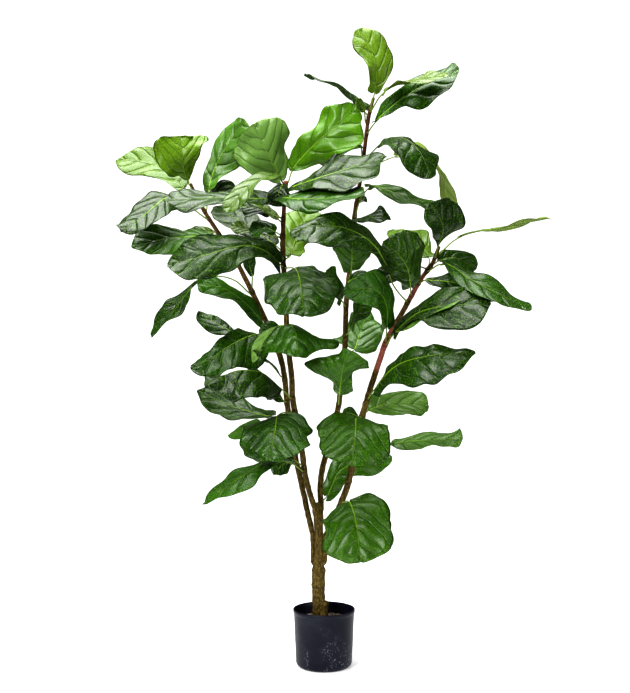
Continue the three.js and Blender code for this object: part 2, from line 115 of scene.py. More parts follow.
class Graph:
    """A new material and the means to write its nodes as expressions."""

    def __init__(self, name: str) -> None:
        """Starts an empty material of that name."""
        self.material = bpy.data.materials.new(name)
        self.material.use_nodes = True
        self.tree = self.material.node_tree
        self.tree.nodes.clear()

    def node(self, kind: str, settings: dict | None = None,
             sockets: dict | None = None) -> bpy.types.Node:
        """Adds a node.

        Args:
            kind: the node's type, without the words ShaderNode.
            settings: its own settings, which are set first.
            sockets: the numbers, colours or links of its inputs, by name or number.

        Returns:
            The new node.
        """
        node = self.tree.nodes.new("ShaderNode" + kind)
        for name, value in (settings or {}).items():
            setattr(node, name, value)
        for name, value in (sockets or {}).items():
            if isinstance(value, Value):
                self.tree.links.new(value.socket, node.inputs[name])
            else:
                node.inputs[name].default_value = value
        return node

    def maths(self, operation: str, first: "Value | float",
              second: "Value | float" = 0.0) -> Value:
        """One Math node on two values."""
        node = self.node("Math", {"operation": operation}, {0: first, 1: second})
        return Value(self, node.outputs[0])

    def blend(self, first: "Value | tuple", second: "Value | tuple", share: Value) -> Value:
        """The colour that goes from the first to the second as share goes from 0 to 1."""
        node = self.node("Mix", {"data_type": "RGBA"}, {0: share, 6: first, 7: second})
        return Value(self, node.outputs[2])

    def layers(self, body: "Value | tuple", *laid: tuple) -> Value:
        """A colour with each of the (colour, share) pairs laid over it in turn."""
        for shade, share in laid:
            body = self.blend(body, shade, share)
        return body

    def ramp(self, share: Value, *stops: tuple) -> Value:
        """The colour that runs through (position, colour) stops as share goes from 0 to 1."""
        node = self.node("ValToRGB", None, {"Fac": share})
        while len(node.color_ramp.elements) < len(stops):
            node.color_ramp.elements.new(1.0)
        for element, (position, shade) in zip(node.color_ramp.elements, stops):
            element.position = position
            element.color = shade
        return Value(self, node.outputs["Color"])

    def attribute(self, name: str) -> Value:
        """A number that the mesh holds at its points."""
        node = self.node("Attribute", {"attribute_name": name})
        return Value(self, node.outputs["Fac"])

    def place(self, stretch: tuple = (1.0, 1.0, 1.0)) -> Value:
        """The place in the object, in metres, stretched along the axes."""
        where = Value(self, self.node("TexCoord").outputs["Object"])
        node = self.node("Mapping", None, {"Vector": where, "Scale": stretch})
        return Value(self, node.outputs["Vector"])

    def noise(self, place: Value, scale: float, detail: float = 2.0,
              roughness: float = 0.5) -> Value:
        """Soft random values from 0 to 1, about scale of them in a metre."""
        node = self.node("TexNoise", None, {
            "Vector": place, "Scale": scale, "Detail": detail, "Roughness": roughness,
        })
        return Value(self, node.outputs[0])

    def cells(self, place: Value, scale: float, feature: str) -> Value:
        """Distances in a pattern of cells, about scale of them in a metre."""
        node = self.node("TexVoronoi", {"feature": feature}, {"Vector": place, "Scale": scale})
        return Value(self, node.outputs["Distance"])

    def relief(self, height: Value, depth: float, strength: float) -> Value:
        """A surface direction bent by a height.

        Args:
            height: the height, from 0 to 1.
            depth: what a height of 1 stands for, in metres.
            strength: how much of it shows.

        Returns:
            The bent normal.
        """
        node = self.node("Bump", None, {
            "Height": height, "Distance": depth, "Strength": strength,
        })
        return Value(self, node.outputs["Normal"])

    def coat(self, body: Value, roughness: Value, normal: Value,
             specular: float) -> bpy.types.Node:
        """A Principled shader of that body colour, roughness, normal and specular level."""
        return self.node("BsdfPrincipled", None, {
            "Base Color": body, "Roughness": roughness, "Normal": normal,
            "Specular IOR Level": specular,
        })

    def finish(self, shader: bpy.types.Node) -> bpy.types.Material:
        """Ends the material with that shader and returns it."""
        output = self.node("OutputMaterial")
        self.tree.links.new(shader.outputs[0], output.inputs["Surface"])
        return self.material


def colour(red: int, green: int, blue: int) -> tuple:
    """The linear colour of screen values from 0 to 255."""
    def linear(part: int) -> float:
        """One channel: (p + 0.055) / 1.055 to the power 2.4, or p / 12.92 near black."""
        share = part / 255
        return share / 12.92 if share < 0.04045 else ((share + 0.055) / 1.055) ** 2.4
    return (linear(red), linear(green), linear(blue), 1.0)


# ---- Finishes ----

@dataclass(frozen=True)
class LeafFinish:
    """Printed and coated leaf cloth: deep and light greens, pale veins and a fine grain."""

    name: str
    deep: tuple
    light: tuple
    speck: tuple
    lime: tuple
    # the pale veins' colour, also laid over leaves of tone above 1 as a painted sheen
    vein: tuple
    rib: tuple
    rough: float = 0.33
    through: float = 0.10        # share of the light that shines through
    vein_height: float = -1.0    # below 0 where the veins are sunk

    PATCHES = 22.0               # deep and light patches in a metre
    GRAIN = 300.0                # grains in a metre
    NET = 190.0                  # meshes of the net between the veins in a metre
    RELIEF = 0.0018              # what a height of 1 stands for, in metres
    SPECULAR = 0.38

    def material(self) -> bpy.types.Material:
        """Builds the finish from the attributes that a leaf holds.

        The side veins are where the phase is near a whole number, and they thin out towards the
        margin. The rib is where the way aside is near 0, and it thins out towards the tip. The deep
        green laid along the side veins is painted shade in their grooves, and a tone above 1 lays
        the pale vein colour over the leaf as a painted sheen.
        """
        graph = Graph(self.name)
        place = graph.place()
        across = graph.attribute("across")
        along = graph.attribute("along")
        tone = graph.attribute("tone")
        from_vein = abs((graph.attribute("phase") + 0.5).fraction() - 0.5)
        vein = (from_vein + across * 0.015).step(0.008, 0.045, 1.0, 0.0)
        # The groove along each side vein: it shapes the relief, and the deep green laid on it is
        # painted shade.
        vein_groove_shade = (from_vein + across * 0.05).step(0.0, 0.2, 1.0, 0.0)
        from_rib = abs(graph.attribute("aside")) + along * 0.0009
        rib = from_rib.step(0.0008, 0.0020, 1.0, 0.0)
        margin = graph.attribute("edge").step(0.0003, 0.0016, 1.0, 0.0)
        patches = graph.noise(place, self.PATCHES, 3.0, 0.6)
        grain = graph.noise(place, self.GRAIN, 2.0, 0.8)
        net = graph.cells(place, self.NET, "DISTANCE_TO_EDGE").step(0.0, 0.13, 1.0, 0.0)
        # The tone moves the leaf between deep and light green: partly its own colour, partly painted
        # light and shade.
        share = (patches * 0.9 + tone * 0.40 - 0.05).step(0.05, 1.0)
        body = graph.layers(
            self.deep,
            (self.light, share),
            # a tone above 1 lays the pale vein colour over the whole leaf: a painted sheen
            (self.vein, tone.step(1.0, 2.0)),
            (self.lime, graph.attribute("lime")),
            (self.speck, grain.step(0.50, 0.68, 0.0, 0.62)),
            (self.deep, grain.step(0.30, 0.46, 0.35, 0.0)),
            (self.vein, net * 0.08),
            # painted shade in the grooves along the side veins
            (self.deep, vein_groove_shade * (1.0 - across * 0.5) * 0.30),
            (self.vein, vein * (1.0 - across * 0.6) * 0.45),
            (self.rib, rib * (0.90 - along * 0.80)),
            (self.deep, margin * 0.6),
        )
        height = (vein * 0.5 + vein_groove_shade * 0.8) * self.vein_height
        height = height + rib * 0.9 + grain * 0.05 - net * 0.05 + patches * 0.3
        roughness = grain * 0.16 + patches * 0.12 + (self.rough - 0.14)
        coat = graph.coat(body, roughness, graph.relief(height, self.RELIEF, 0.8), self.SPECULAR)
        glow = graph.node("BsdfTranslucent", None, {"Color": self.lime})
        both = graph.node("MixShader", None, {0: self.through})
        graph.tree.links.new(coat.outputs[0], both.inputs[1])
        graph.tree.links.new(glow.outputs[0], both.inputs[2])
        return graph.finish(both)


@dataclass(frozen=True)
class BarkFinish:
    """Moulded bark: fibres along the stem, dark pits, and lengths where the colour turns."""

    name: str
    dark: tuple
    middle: tuple
    pale: tuple
    blush: tuple
    twig: tuple

    FIBRES = 520.0               # in a metre, across the stem
    FLAKES = 190.0
    PITS = 330.0
    RELIEF = 0.0016              # what a height of 1 stands for, in metres
    SPECULAR = 0.2

    def material(self) -> bpy.types.Material:
        """Builds the finish from noise stretched along the stem and the stem's attributes."""
        graph = Graph(self.name)
        fibres = graph.noise(graph.place((1.0, 1.0, 0.28)), self.FIBRES, 4.0, 0.65)
        flakes = graph.noise(graph.place((1.0, 1.0, 0.6)), self.FLAKES, 3.0, 0.6)
        pits = graph.cells(graph.place((1.0, 1.0, 0.55)), self.PITS, "F1")
        pits = pits.step(0.1, 0.32, 1.0, 0.0)
        body = graph.ramp(fibres * 0.55 + flakes * 0.5,
                          (0.30, self.dark), (0.52, self.middle), (0.72, self.pale))
        body = graph.layers(
            body,
            (self.twig, graph.attribute("twig") * 0.75),
            (self.blush, graph.attribute("blush") * 0.8),
            (self.dark, pits * flakes * 0.9),
            (self.dark, graph.attribute("scar") * 0.55),
        )
        height = fibres * 0.5 + flakes * 0.7 - pits * 0.5
        normal = graph.relief(height, self.RELIEF, 0.9)
        return graph.finish(graph.coat(body, fibres * 0.25 + 0.55, normal, self.SPECULAR))


@dataclass(frozen=True)
class PotFinish:
    """Moulded dark plastic with fine scratches and dust near its foot."""

    name: str
    shell: tuple
    dust: tuple

    SKIN = 900.0                 # pebbles of the skin in a metre
    CLOUDS = 16.0                # dusty places in a metre
    SPECKS = 210.0               # specks in a metre
    SCRATCHES = 60.0             # scratches in a metre, across them
    RELIEF = 0.0004              # what a height of 1 stands for, in metres
    SPECULAR = 0.25

    def material(self) -> bpy.types.Material:
        """Builds the finish: a pebbled skin, scratches round the wall and specks of dust."""
        graph = Graph(self.name)
        place = graph.place()
        skin = graph.noise(place, self.SKIN, 2.0)
        clouds = graph.noise(place, self.CLOUDS, 4.0, 0.6)
        scratch = graph.noise(graph.place((1.0, 1.0, 14.0)), self.SCRATCHES, 3.0, 0.7)
        specks = graph.noise(place, self.SPECKS, 3.0, 0.75)
        low = graph.attribute("low")
        dusty = specks.step(0.57, 0.65) * (clouds.step(0.46, 0.66) * low)
        body = graph.layers(
            self.shell,
            (self.dust, clouds.step(0.35, 0.9, 0.0, 0.05)),
            (self.dust, scratch.step(0.6, 0.75, 0.0, 0.05)),
            (self.dust, dusty * 0.85),
        )
        roughness = clouds * 0.16 + dusty * 0.3 + scratch * 0.1 + 0.28
        normal = graph.relief(skin * 0.3 + scratch * 0.3, self.RELIEF, 0.5)
        return graph.finish(graph.coat(body, roughness, normal, self.SPECULAR))


@dataclass(frozen=True)
class GravelFinish:
    """Dry grey and brown stone chips."""

    name: str
    dark: tuple
    middle: tuple
    pale: tuple

    SAND = 900.0                 # grains in a metre
    RELIEF = 0.0008              # what a height of 1 stands for, in metres
    SPECULAR = 0.5

    def material(self) -> bpy.types.Material:
        """Builds the finish: each chip near one of three colours, with a sandy skin."""
        graph = Graph(self.name)
        sand = graph.noise(graph.place(), self.SAND, 3.0, 0.7)
        body = graph.ramp(graph.attribute("tone") * 0.8 + sand * 0.25,
                          (0.1, self.dark), (0.5, self.middle), (0.95, self.pale))
        normal = graph.relief(sand, self.RELIEF, 0.8)
        return graph.finish(graph.coat(body, sand * 0.2 + 0.7, normal, self.SPECULAR))


class Slot(Enum):
    """The record's material slots."""

    POT = "pot"
    FILLING = "filling"
    BARK = "bark"
    LEAF = "leaf"
    YOUNG_LEAF = "young_leaf"


LEAF_TOP = LeafFinish(
    "leaf_top", colour(0, 28, 0), colour(42, 92, 2), colour(112, 158, 20),
    colour(90, 138, 4), colour(124, 160, 84), colour(160, 204, 50),
)
LEAF_UNDER = LeafFinish(
    "leaf_under", colour(36, 70, 16), colour(86, 120, 44), colour(128, 158, 62),
    colour(108, 150, 20), colour(150, 172, 100), colour(170, 194, 90),
    rough=0.6, through=0.2, vein_height=1.0,
)
YOUNG_TOP = LeafFinish(
    "young_leaf_top", colour(52, 84, 6), colour(104, 128, 34), colour(140, 164, 62),
    colour(92, 130, 0), colour(138, 158, 88), colour(120, 152, 40), through=0.10,
)
YOUNG_UNDER = LeafFinish(
    "young_leaf_under", colour(84, 112, 30), colour(130, 152, 74), colour(152, 172, 92),
    colour(104, 144, 6), colour(158, 176, 112), colour(142, 168, 72),
    rough=0.6, through=0.16, vein_height=1.0,
)
BARK = BarkFinish(
    "bark", colour(24, 18, 4), colour(84, 70, 30), colour(150, 130, 74),
    colour(164, 96, 84), colour(92, 52, 32),
)
POT_SHELL = PotFinish("pot_shell", colour(10, 13, 30), colour(156, 160, 176))
GRAVEL = GravelFinish("gravel", colour(52, 42, 34), colour(112, 98, 84), colour(176, 164, 148))


# ---- Surfaces ----

def placed(name: str, data: bpy.types.ID) -> bpy.types.Object:
    """A new object in the scene that shows the data."""
    thing = bpy.data.objects.new(name, data)
    bpy.context.scene.collection.objects.link(thing)
    return thing


def seed_of(name: str) -> int:
    """A whole number up to 996 that belongs to the name."""
    return zlib.crc32(name.encode()) % 997


def walls(number: np.ndarray) -> list:
    """The four-cornered faces between closed rings of points, given their numbers by ring."""
    beside = np.roll(number, -1, axis=1)
    quads = np.stack([number[:-1], beside[:-1], beside[1:], number[1:]], axis=-1)
    return quads.reshape(-1, 4).tolist()


def cloud(places: np.ndarray, size: float, seed: int) -> np.ndarray:
    """Soft random values from -1 to 1 at some places.

    Each corner of a lattice of cells has a value worked out from its three whole numbers, and a
    place takes the eight round it, shared by s * s * (3 - 2 * s) along each axis.

    Args:
        places: ... x 3, in metres.
        size: how far apart the corners are, in metres.
        seed: picks another pattern.

    Returns:
        The values, one for each place.
    """
    cells = places / size
    low = np.floor(cells).astype(np.int64)
    share = cells - low
    share = share * share * (3 - 2 * share)
    total = np.zeros(places.shape[:-1])
    for corner in np.ndindex(2, 2, 2):
        spot = low + np.array(corner)
        mixed = spot @ np.array([73856093, 19349663, 83492791]) + seed * 15485863
        mixed = (mixed ^ (mixed >> 13)) * 1274126177
        value = (mixed & 0xFFFFFF) / 0xFFFFFF
        weight = np.prod(np.where(np.array(corner) == 1, share, 1 - share), axis=-1)
        total += weight * (2 * value - 1)
    return total


def unit(vectors: np.ndarray) -> np.ndarray:
    """The vectors at length one."""
    length = np.linalg.norm(vectors, axis=-1, keepdims=True)
    return vectors / np.maximum(length, 1e-12)


def spline(points: np.ndarray, places: np.ndarray,
           after: np.ndarray | None = None) -> np.ndarray:
    """Points on smooth curves through given points.

    It is the centripetal Catmull-Rom curve: between two points, three straight blends of the four
    nearest points are blended twice more, with knots the square root of the distance apart.

    Args:
        points: n x ... x 3, what the curves pass through, in order.
        places: where to read the curves, in counts of points from the first.
        after: what would come after the last point; else the last step is repeated.

    Returns:
        One point of every curve for each place.
    """
    before = 2 * points[:1] - points[1:2]
    beyond = 2 * points[-1:] - points[-2:-1] if after is None else after[None]
    ends = np.concatenate([before, points, beyond])
    index = np.clip(places.astype(int), 0, len(points) - 2)
    share = (places - index).reshape((-1,) + (1,) * (points.ndim - 1))
    near = [ends[index + step] for step in range(4)]
    knots = [np.zeros(near[0].shape[:-1] + (1,))]
    for start, end in zip(near, near[1:]):
        gap = np.linalg.norm(end - start, axis=-1, keepdims=True)
        knots.append(knots[-1] + np.sqrt(np.maximum(gap, 1e-7)))
    at = knots[1] + share * (knots[2] - knots[1])

    def between(low: int, high: int, first: np.ndarray, second: np.ndarray) -> np.ndarray:
        """The straight blend of two points, each whole at its own knot."""
        start, end = knots[low], knots[high]
        return ((end - at) * first + (at - start) * second) / (end - start)

    first, middle, last = (between(i, i + 1, near[i], near[i + 1]) for i in range(3))
    return between(1, 2, between(0, 2, first, middle), between(1, 3, middle, last))


def sweep(centres: np.ndarray, radii: np.ndarray, facing: np.ndarray,
          sides: int) -> tuple[np.ndarray, np.ndarray]:
    """Circles carried along a path, each square to it.

    Point k of a circle is its centre + radius * (across * cos a + away * sin a), a = 2 pi k / n.

    Args:
        centres: n x 3, the path.
        radii: the radius at each point of the path.
        facing: a direction that the path doesn't start in, from which the first circle starts;
            each next circle starts as near to the last one's start as it can.
        sides: the number of points in a circle.

    Returns:
        The circles' points, n x sides x 3, and the direction out of the path at each.
    """
    along = unit(np.gradient(centres, axis=0))
    across = [facing]
    for ahead in along:
        across.append(unit(across[-1] - ahead * (ahead @ across[-1])))
    across = np.array(across[1:])
    away = np.cross(along, across)
    angle = 2 * math.pi * np.arange(sides) / sides
    out = (across[:, None] * np.cos(angle)[None, :, None]
           + away[:, None] * np.sin(angle)[None, :, None])
    return centres[:, None] + out * radii[:, None, None], out


@dataclass
class Skin:
    """Closed tubes gathered for one mesh: their points, faces and what the patterns need."""

    points: list = field(default_factory=list)
    faces: list = field(default_factory=list)
    finishes: list = field(default_factory=list)
    values: dict = field(default_factory=dict)
    count: int = 0

    def add(self, rings: np.ndarray, values: dict, finish: np.ndarray | int = 0) -> None:
        """Adds a tube through rings of points, closed by a flat face at each end.

        Args:
            rings: rows x around x 3, each ring going round to the left of the way ahead.
            values: numbers for the patterns, by name, in any shape that spreads over the points.
            finish: the number of the material, one for the tube or one for each step around.
        """
        rows, around = rings.shape[:2]
        number = self.count + np.arange(rows * around).reshape(rows, around)
        self.points.append(rings.reshape(-1, 3))
        self.faces += walls(number) + [number[0, ::-1].tolist(), number[-1].tolist()]
        round_finish = np.broadcast_to(np.asarray(finish), (around,))
        self.finishes += np.tile(round_finish, rows - 1).tolist()
        self.finishes += [int(round_finish[0])] * 2
        for name in sorted(set(values) | set(self.values)):
            old = self.values.setdefault(name, [np.zeros(self.count)])
            old.append(np.broadcast_to(values.get(name, 0.0), (rows, around)).ravel())
        self.count += rows * around

    def piece(self, name: str, slot: Slot, nodes: list, materials: list) -> None:
        """Makes the object, hides the CAD nodes that it stands for and rides it on the body.

        Args:
            name: the piece's name.
            slot: the record's slot of the piece; not used.
            nodes: the names of the CAD nodes that it replaces.
            materials: its materials, in the order of the finish numbers.
        """
        mesh = bpy.data.meshes.new(name)
        mesh.from_pydata(np.concatenate(self.points).tolist(), [], self.faces)
        for key, parts in self.values.items():
            layer = mesh.attributes.new(key, "FLOAT", "POINT")
            layer.data.foreach_set("value", np.concatenate(parts).astype(np.float32))
        for material in materials:
            mesh.materials.append(material)
        mesh.polygons.foreach_set("material_index", np.array(self.finishes, np.int32))
        mesh.polygons.foreach_set("use_smooth", np.ones(len(self.faces), bool))
        mesh.update()
        piece = placed(name, mesh)
        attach(piece, BODY)
        if nodes:
            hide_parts(*nodes)
        log.info("%s: %d faces", name, len(self.faces))


# ---- What the CAD nodes say ----

@dataclass(frozen=True)
class Welded:
    """A CAD node's corners, and which of them are joined by an edge."""

    places: np.ndarray
    links: list

    @classmethod
    def of(cls, name: str) -> "Welded":
        """Reads a copy of the node's mesh, whose loose triangles are merged first."""
        shape = bmesh.new()
        shape.from_mesh(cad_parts[name].data)
        bmesh.ops.remove_doubles(shape, verts=shape.verts, dist=WELD)
        shape.verts.index_update()
        places = np.array([vert.co for vert in shape.verts])
        links = [{edge.other_vert(vert).index for edge in vert.link_edges}
                 for vert in shape.verts]
        shape.free()
        return cls(places, links)

    def levels(self, seeds: list) -> list:
        """The corners in steps of one edge away from the first ones."""
        seen = set(seeds)
        found = [list(seeds)]
        while found[-1]:
            ahead = set().union(*(self.links[i] for i in found[-1])) - seen
            seen |= ahead
            found.append(sorted(ahead))
        return found[:-1]


@dataclass(frozen=True)
class StemLine:
    """The path of a stem or the trunk: ring centres and radii, and a fine copy of both."""

    centres: np.ndarray
    radii: np.ndarray

    STEP = 0.004                 # between the points of the fine copy
    NEAR = 0.03                  # the corners of the lowest ring are this near to the lowest one

    @classmethod
    def of(cls, name: str) -> "StemLine":
        """Reads the rings of a CAD stem, from its foot upwards."""
        shape = Welded.of(name)
        lowest = shape.places[np.argmin(shape.places[:, 2])]
        near = np.linalg.norm(shape.places - lowest, axis=1) < cls.NEAR
        centres, radii = [], []
        for level in shape.levels(np.flatnonzero(near).tolist()):
            if len(level) < 4:
                continue
            ring = shape.places[level]
            centres.append(ring.mean(axis=0))
            radii.append(np.linalg.norm(ring - centres[-1], axis=1).max())
        return cls(np.array(centres), np.array(radii))

    def fine(self, foot: np.ndarray | None = None,
             foot_radius: float = 0.0) -> tuple[np.ndarray, np.ndarray]:
        """A fine path and its radii.

        Args:
            foot: a place below the first ring where the path starts; none if it is None.
            foot_radius: the radius there.

        Returns:
            The points of the path, a few millimetres apart, and the radius at each.
        """
        centres, radii = self.centres, self.radii
        if foot is not None:
            centres = np.concatenate([foot[None], centres])
            radii = np.concatenate([[foot_radius], radii])
        gaps = np.linalg.norm(np.diff(centres, axis=0), axis=1)
        whole = np.concatenate([[0], np.cumsum(gaps)])
        count = int(whole[-1] / self.STEP)
        places = np.interp(np.linspace(0, whole[-1], count), whole, np.arange(len(centres)))
        return spline(centres, places), np.interp(places, np.arange(len(radii)), radii)


@dataclass(frozen=True)
class Sprig:
    """A small leaf half hidden in the crown: where it grows, its way out and its size.

    The height of its root, its steps and its width are in millimetres. The steps go from the
    root to the base, the middle and the tip of the blade.
    """

    stem: str
    height: int
    steps: tuple
    width: int
    facing: tuple = (0.0, -0.8, 0.6)
    # partly the leaf's own colour, partly painted light and shade; above 1 a painted pale sheen
    tone: float = 0.0
    young: bool = False


@dataclass(frozen=True)
class LeafForm:
    """What a leaf is made from: its stalk's path, and five lines from its base to its tip.

    The lines are the left margin, the left half, the rib, the right half and the right margin.
    """

    stalk: np.ndarray
    lines: np.ndarray

    STALK_RINGS = 3
    SIDES = 8
    TOP = 2                      # the place of the top corner in a ring
    HALF_WAY = 0.55              # where the half lines run, as a share of the half width
    STATIONS = (0.0, 0.03, 0.14, 0.32, 0.52, 0.70, 0.86, 0.96)
    OUTLINE = (0.06, 0.34, 0.52, 0.70, 0.92, 1.00, 0.82, 0.42)
    FOLD = 0.15                  # rise of a small leaf's halves, as a slope
    STALK_SHARES = (0.3, 0.6, 0.9)

    @classmethod
    def of(cls, name: str) -> "LeafForm":
        """Reads a CAD leaf: rings of eight corners, from the stalk's end to the tip.

        A ring goes left margin, left top, top, right top, right margin, right under, under, left
        under. The stalk's end is the corner with the shortest edges, and the top corner of the
        first ring is pulled in towards its centre.
        """
        shape = Welded.of(name)
        reach = [np.linalg.norm(shape.places[list(linked)] - place, axis=1).max()
                 for place, linked in zip(shape.places, shape.links)]
        levels = shape.levels([int(np.argmin(reach))])
        rings = [shape.places[cls._walk(shape, level)] for level in levels[1:-1]]
        tip = shape.places[levels[-1][0]]
        centres = np.array([ring.mean(axis=0) for ring in rings] + [tip])
        fixed = []
        for index, ring in enumerate(rings):
            from_centre = ring - centres[index]
            turn = np.cross(from_centre, np.roll(from_centre, -1, axis=0)).sum(axis=0)
            if turn @ (centres[index + 1] - centres[index]) < 0:
                ring = ring[::-1]
                from_centre = from_centre[::-1]
            if index == 0:
                start = int(np.argmin(np.linalg.norm(from_centre, axis=1))) - cls.TOP
            else:
                last = fixed[-1] - fixed[-1].mean(axis=0)
                fits = [(np.roll(from_centre, -roll, axis=0) * last).sum()
                        for roll in range(cls.SIDES)]
                start = int(np.argmax(fits))
            fixed.append(np.roll(ring, -start, axis=0))
        blade = np.array(fixed[cls.STALK_RINGS:])
        lines = np.stack([
            blade[:, 0], (blade[:, 1] + blade[:, 7]) / 2, (blade[:, 2] + blade[:, 6]) / 2,
            (blade[:, 3] + blade[:, 5]) / 2, blade[:, 4],
        ], axis=1)
        lines = np.concatenate([lines, np.broadcast_to(tip, (1, 5, 3))])
        return cls(centres[:cls.STALK_RINGS], lines)

    @staticmethod
    def _walk(shape: Welded, level: list) -> list:
        """The corners of one ring in order, from neighbour to neighbour."""
        ring = [level[0]]
        left = set(level[1:])
        while left:
            linked = shape.links[ring[-1]] & left
            if not linked:
                break
            ring.append(min(linked))
            left.discard(ring[-1])
        return ring

    @classmethod
    def grown(cls, root: np.ndarray, sprig: Sprig) -> "LeafForm":
        """A small leaf laid out from a place on the middle line of its stem.

        The rib is the spline through the steps. At each station the halves reach out square to
        the rib and to the facing by the outline's share of half the width, raised by the fold.
        """
        points = root + np.array(sprig.steps) / MM
        rib = spline(points, np.array(cls.STATIONS) * (len(points) - 1))
        along = unit(np.gradient(rib, axis=0))
        up = unit(np.array(sprig.facing) - along * (along @ np.array(sprig.facing))[:, None])
        aside = np.cross(along, up)
        half = (np.array(cls.OUTLINE) * (sprig.width / MM) / 2)[:, None]
        lines = [rib + share * half * aside + abs(share) * half * cls.FOLD * up
                 for share in (-1, -cls.HALF_WAY, 0, cls.HALF_WAY, 1)]
        lines = np.concatenate([np.stack(lines, axis=1), np.broadcast_to(points[-1], (1, 5, 3))])
        stalk = root + (points[0] - root) * np.array(cls.STALK_SHARES)[:, None]
        return cls(stalk, lines)


# ---- Leaves ----

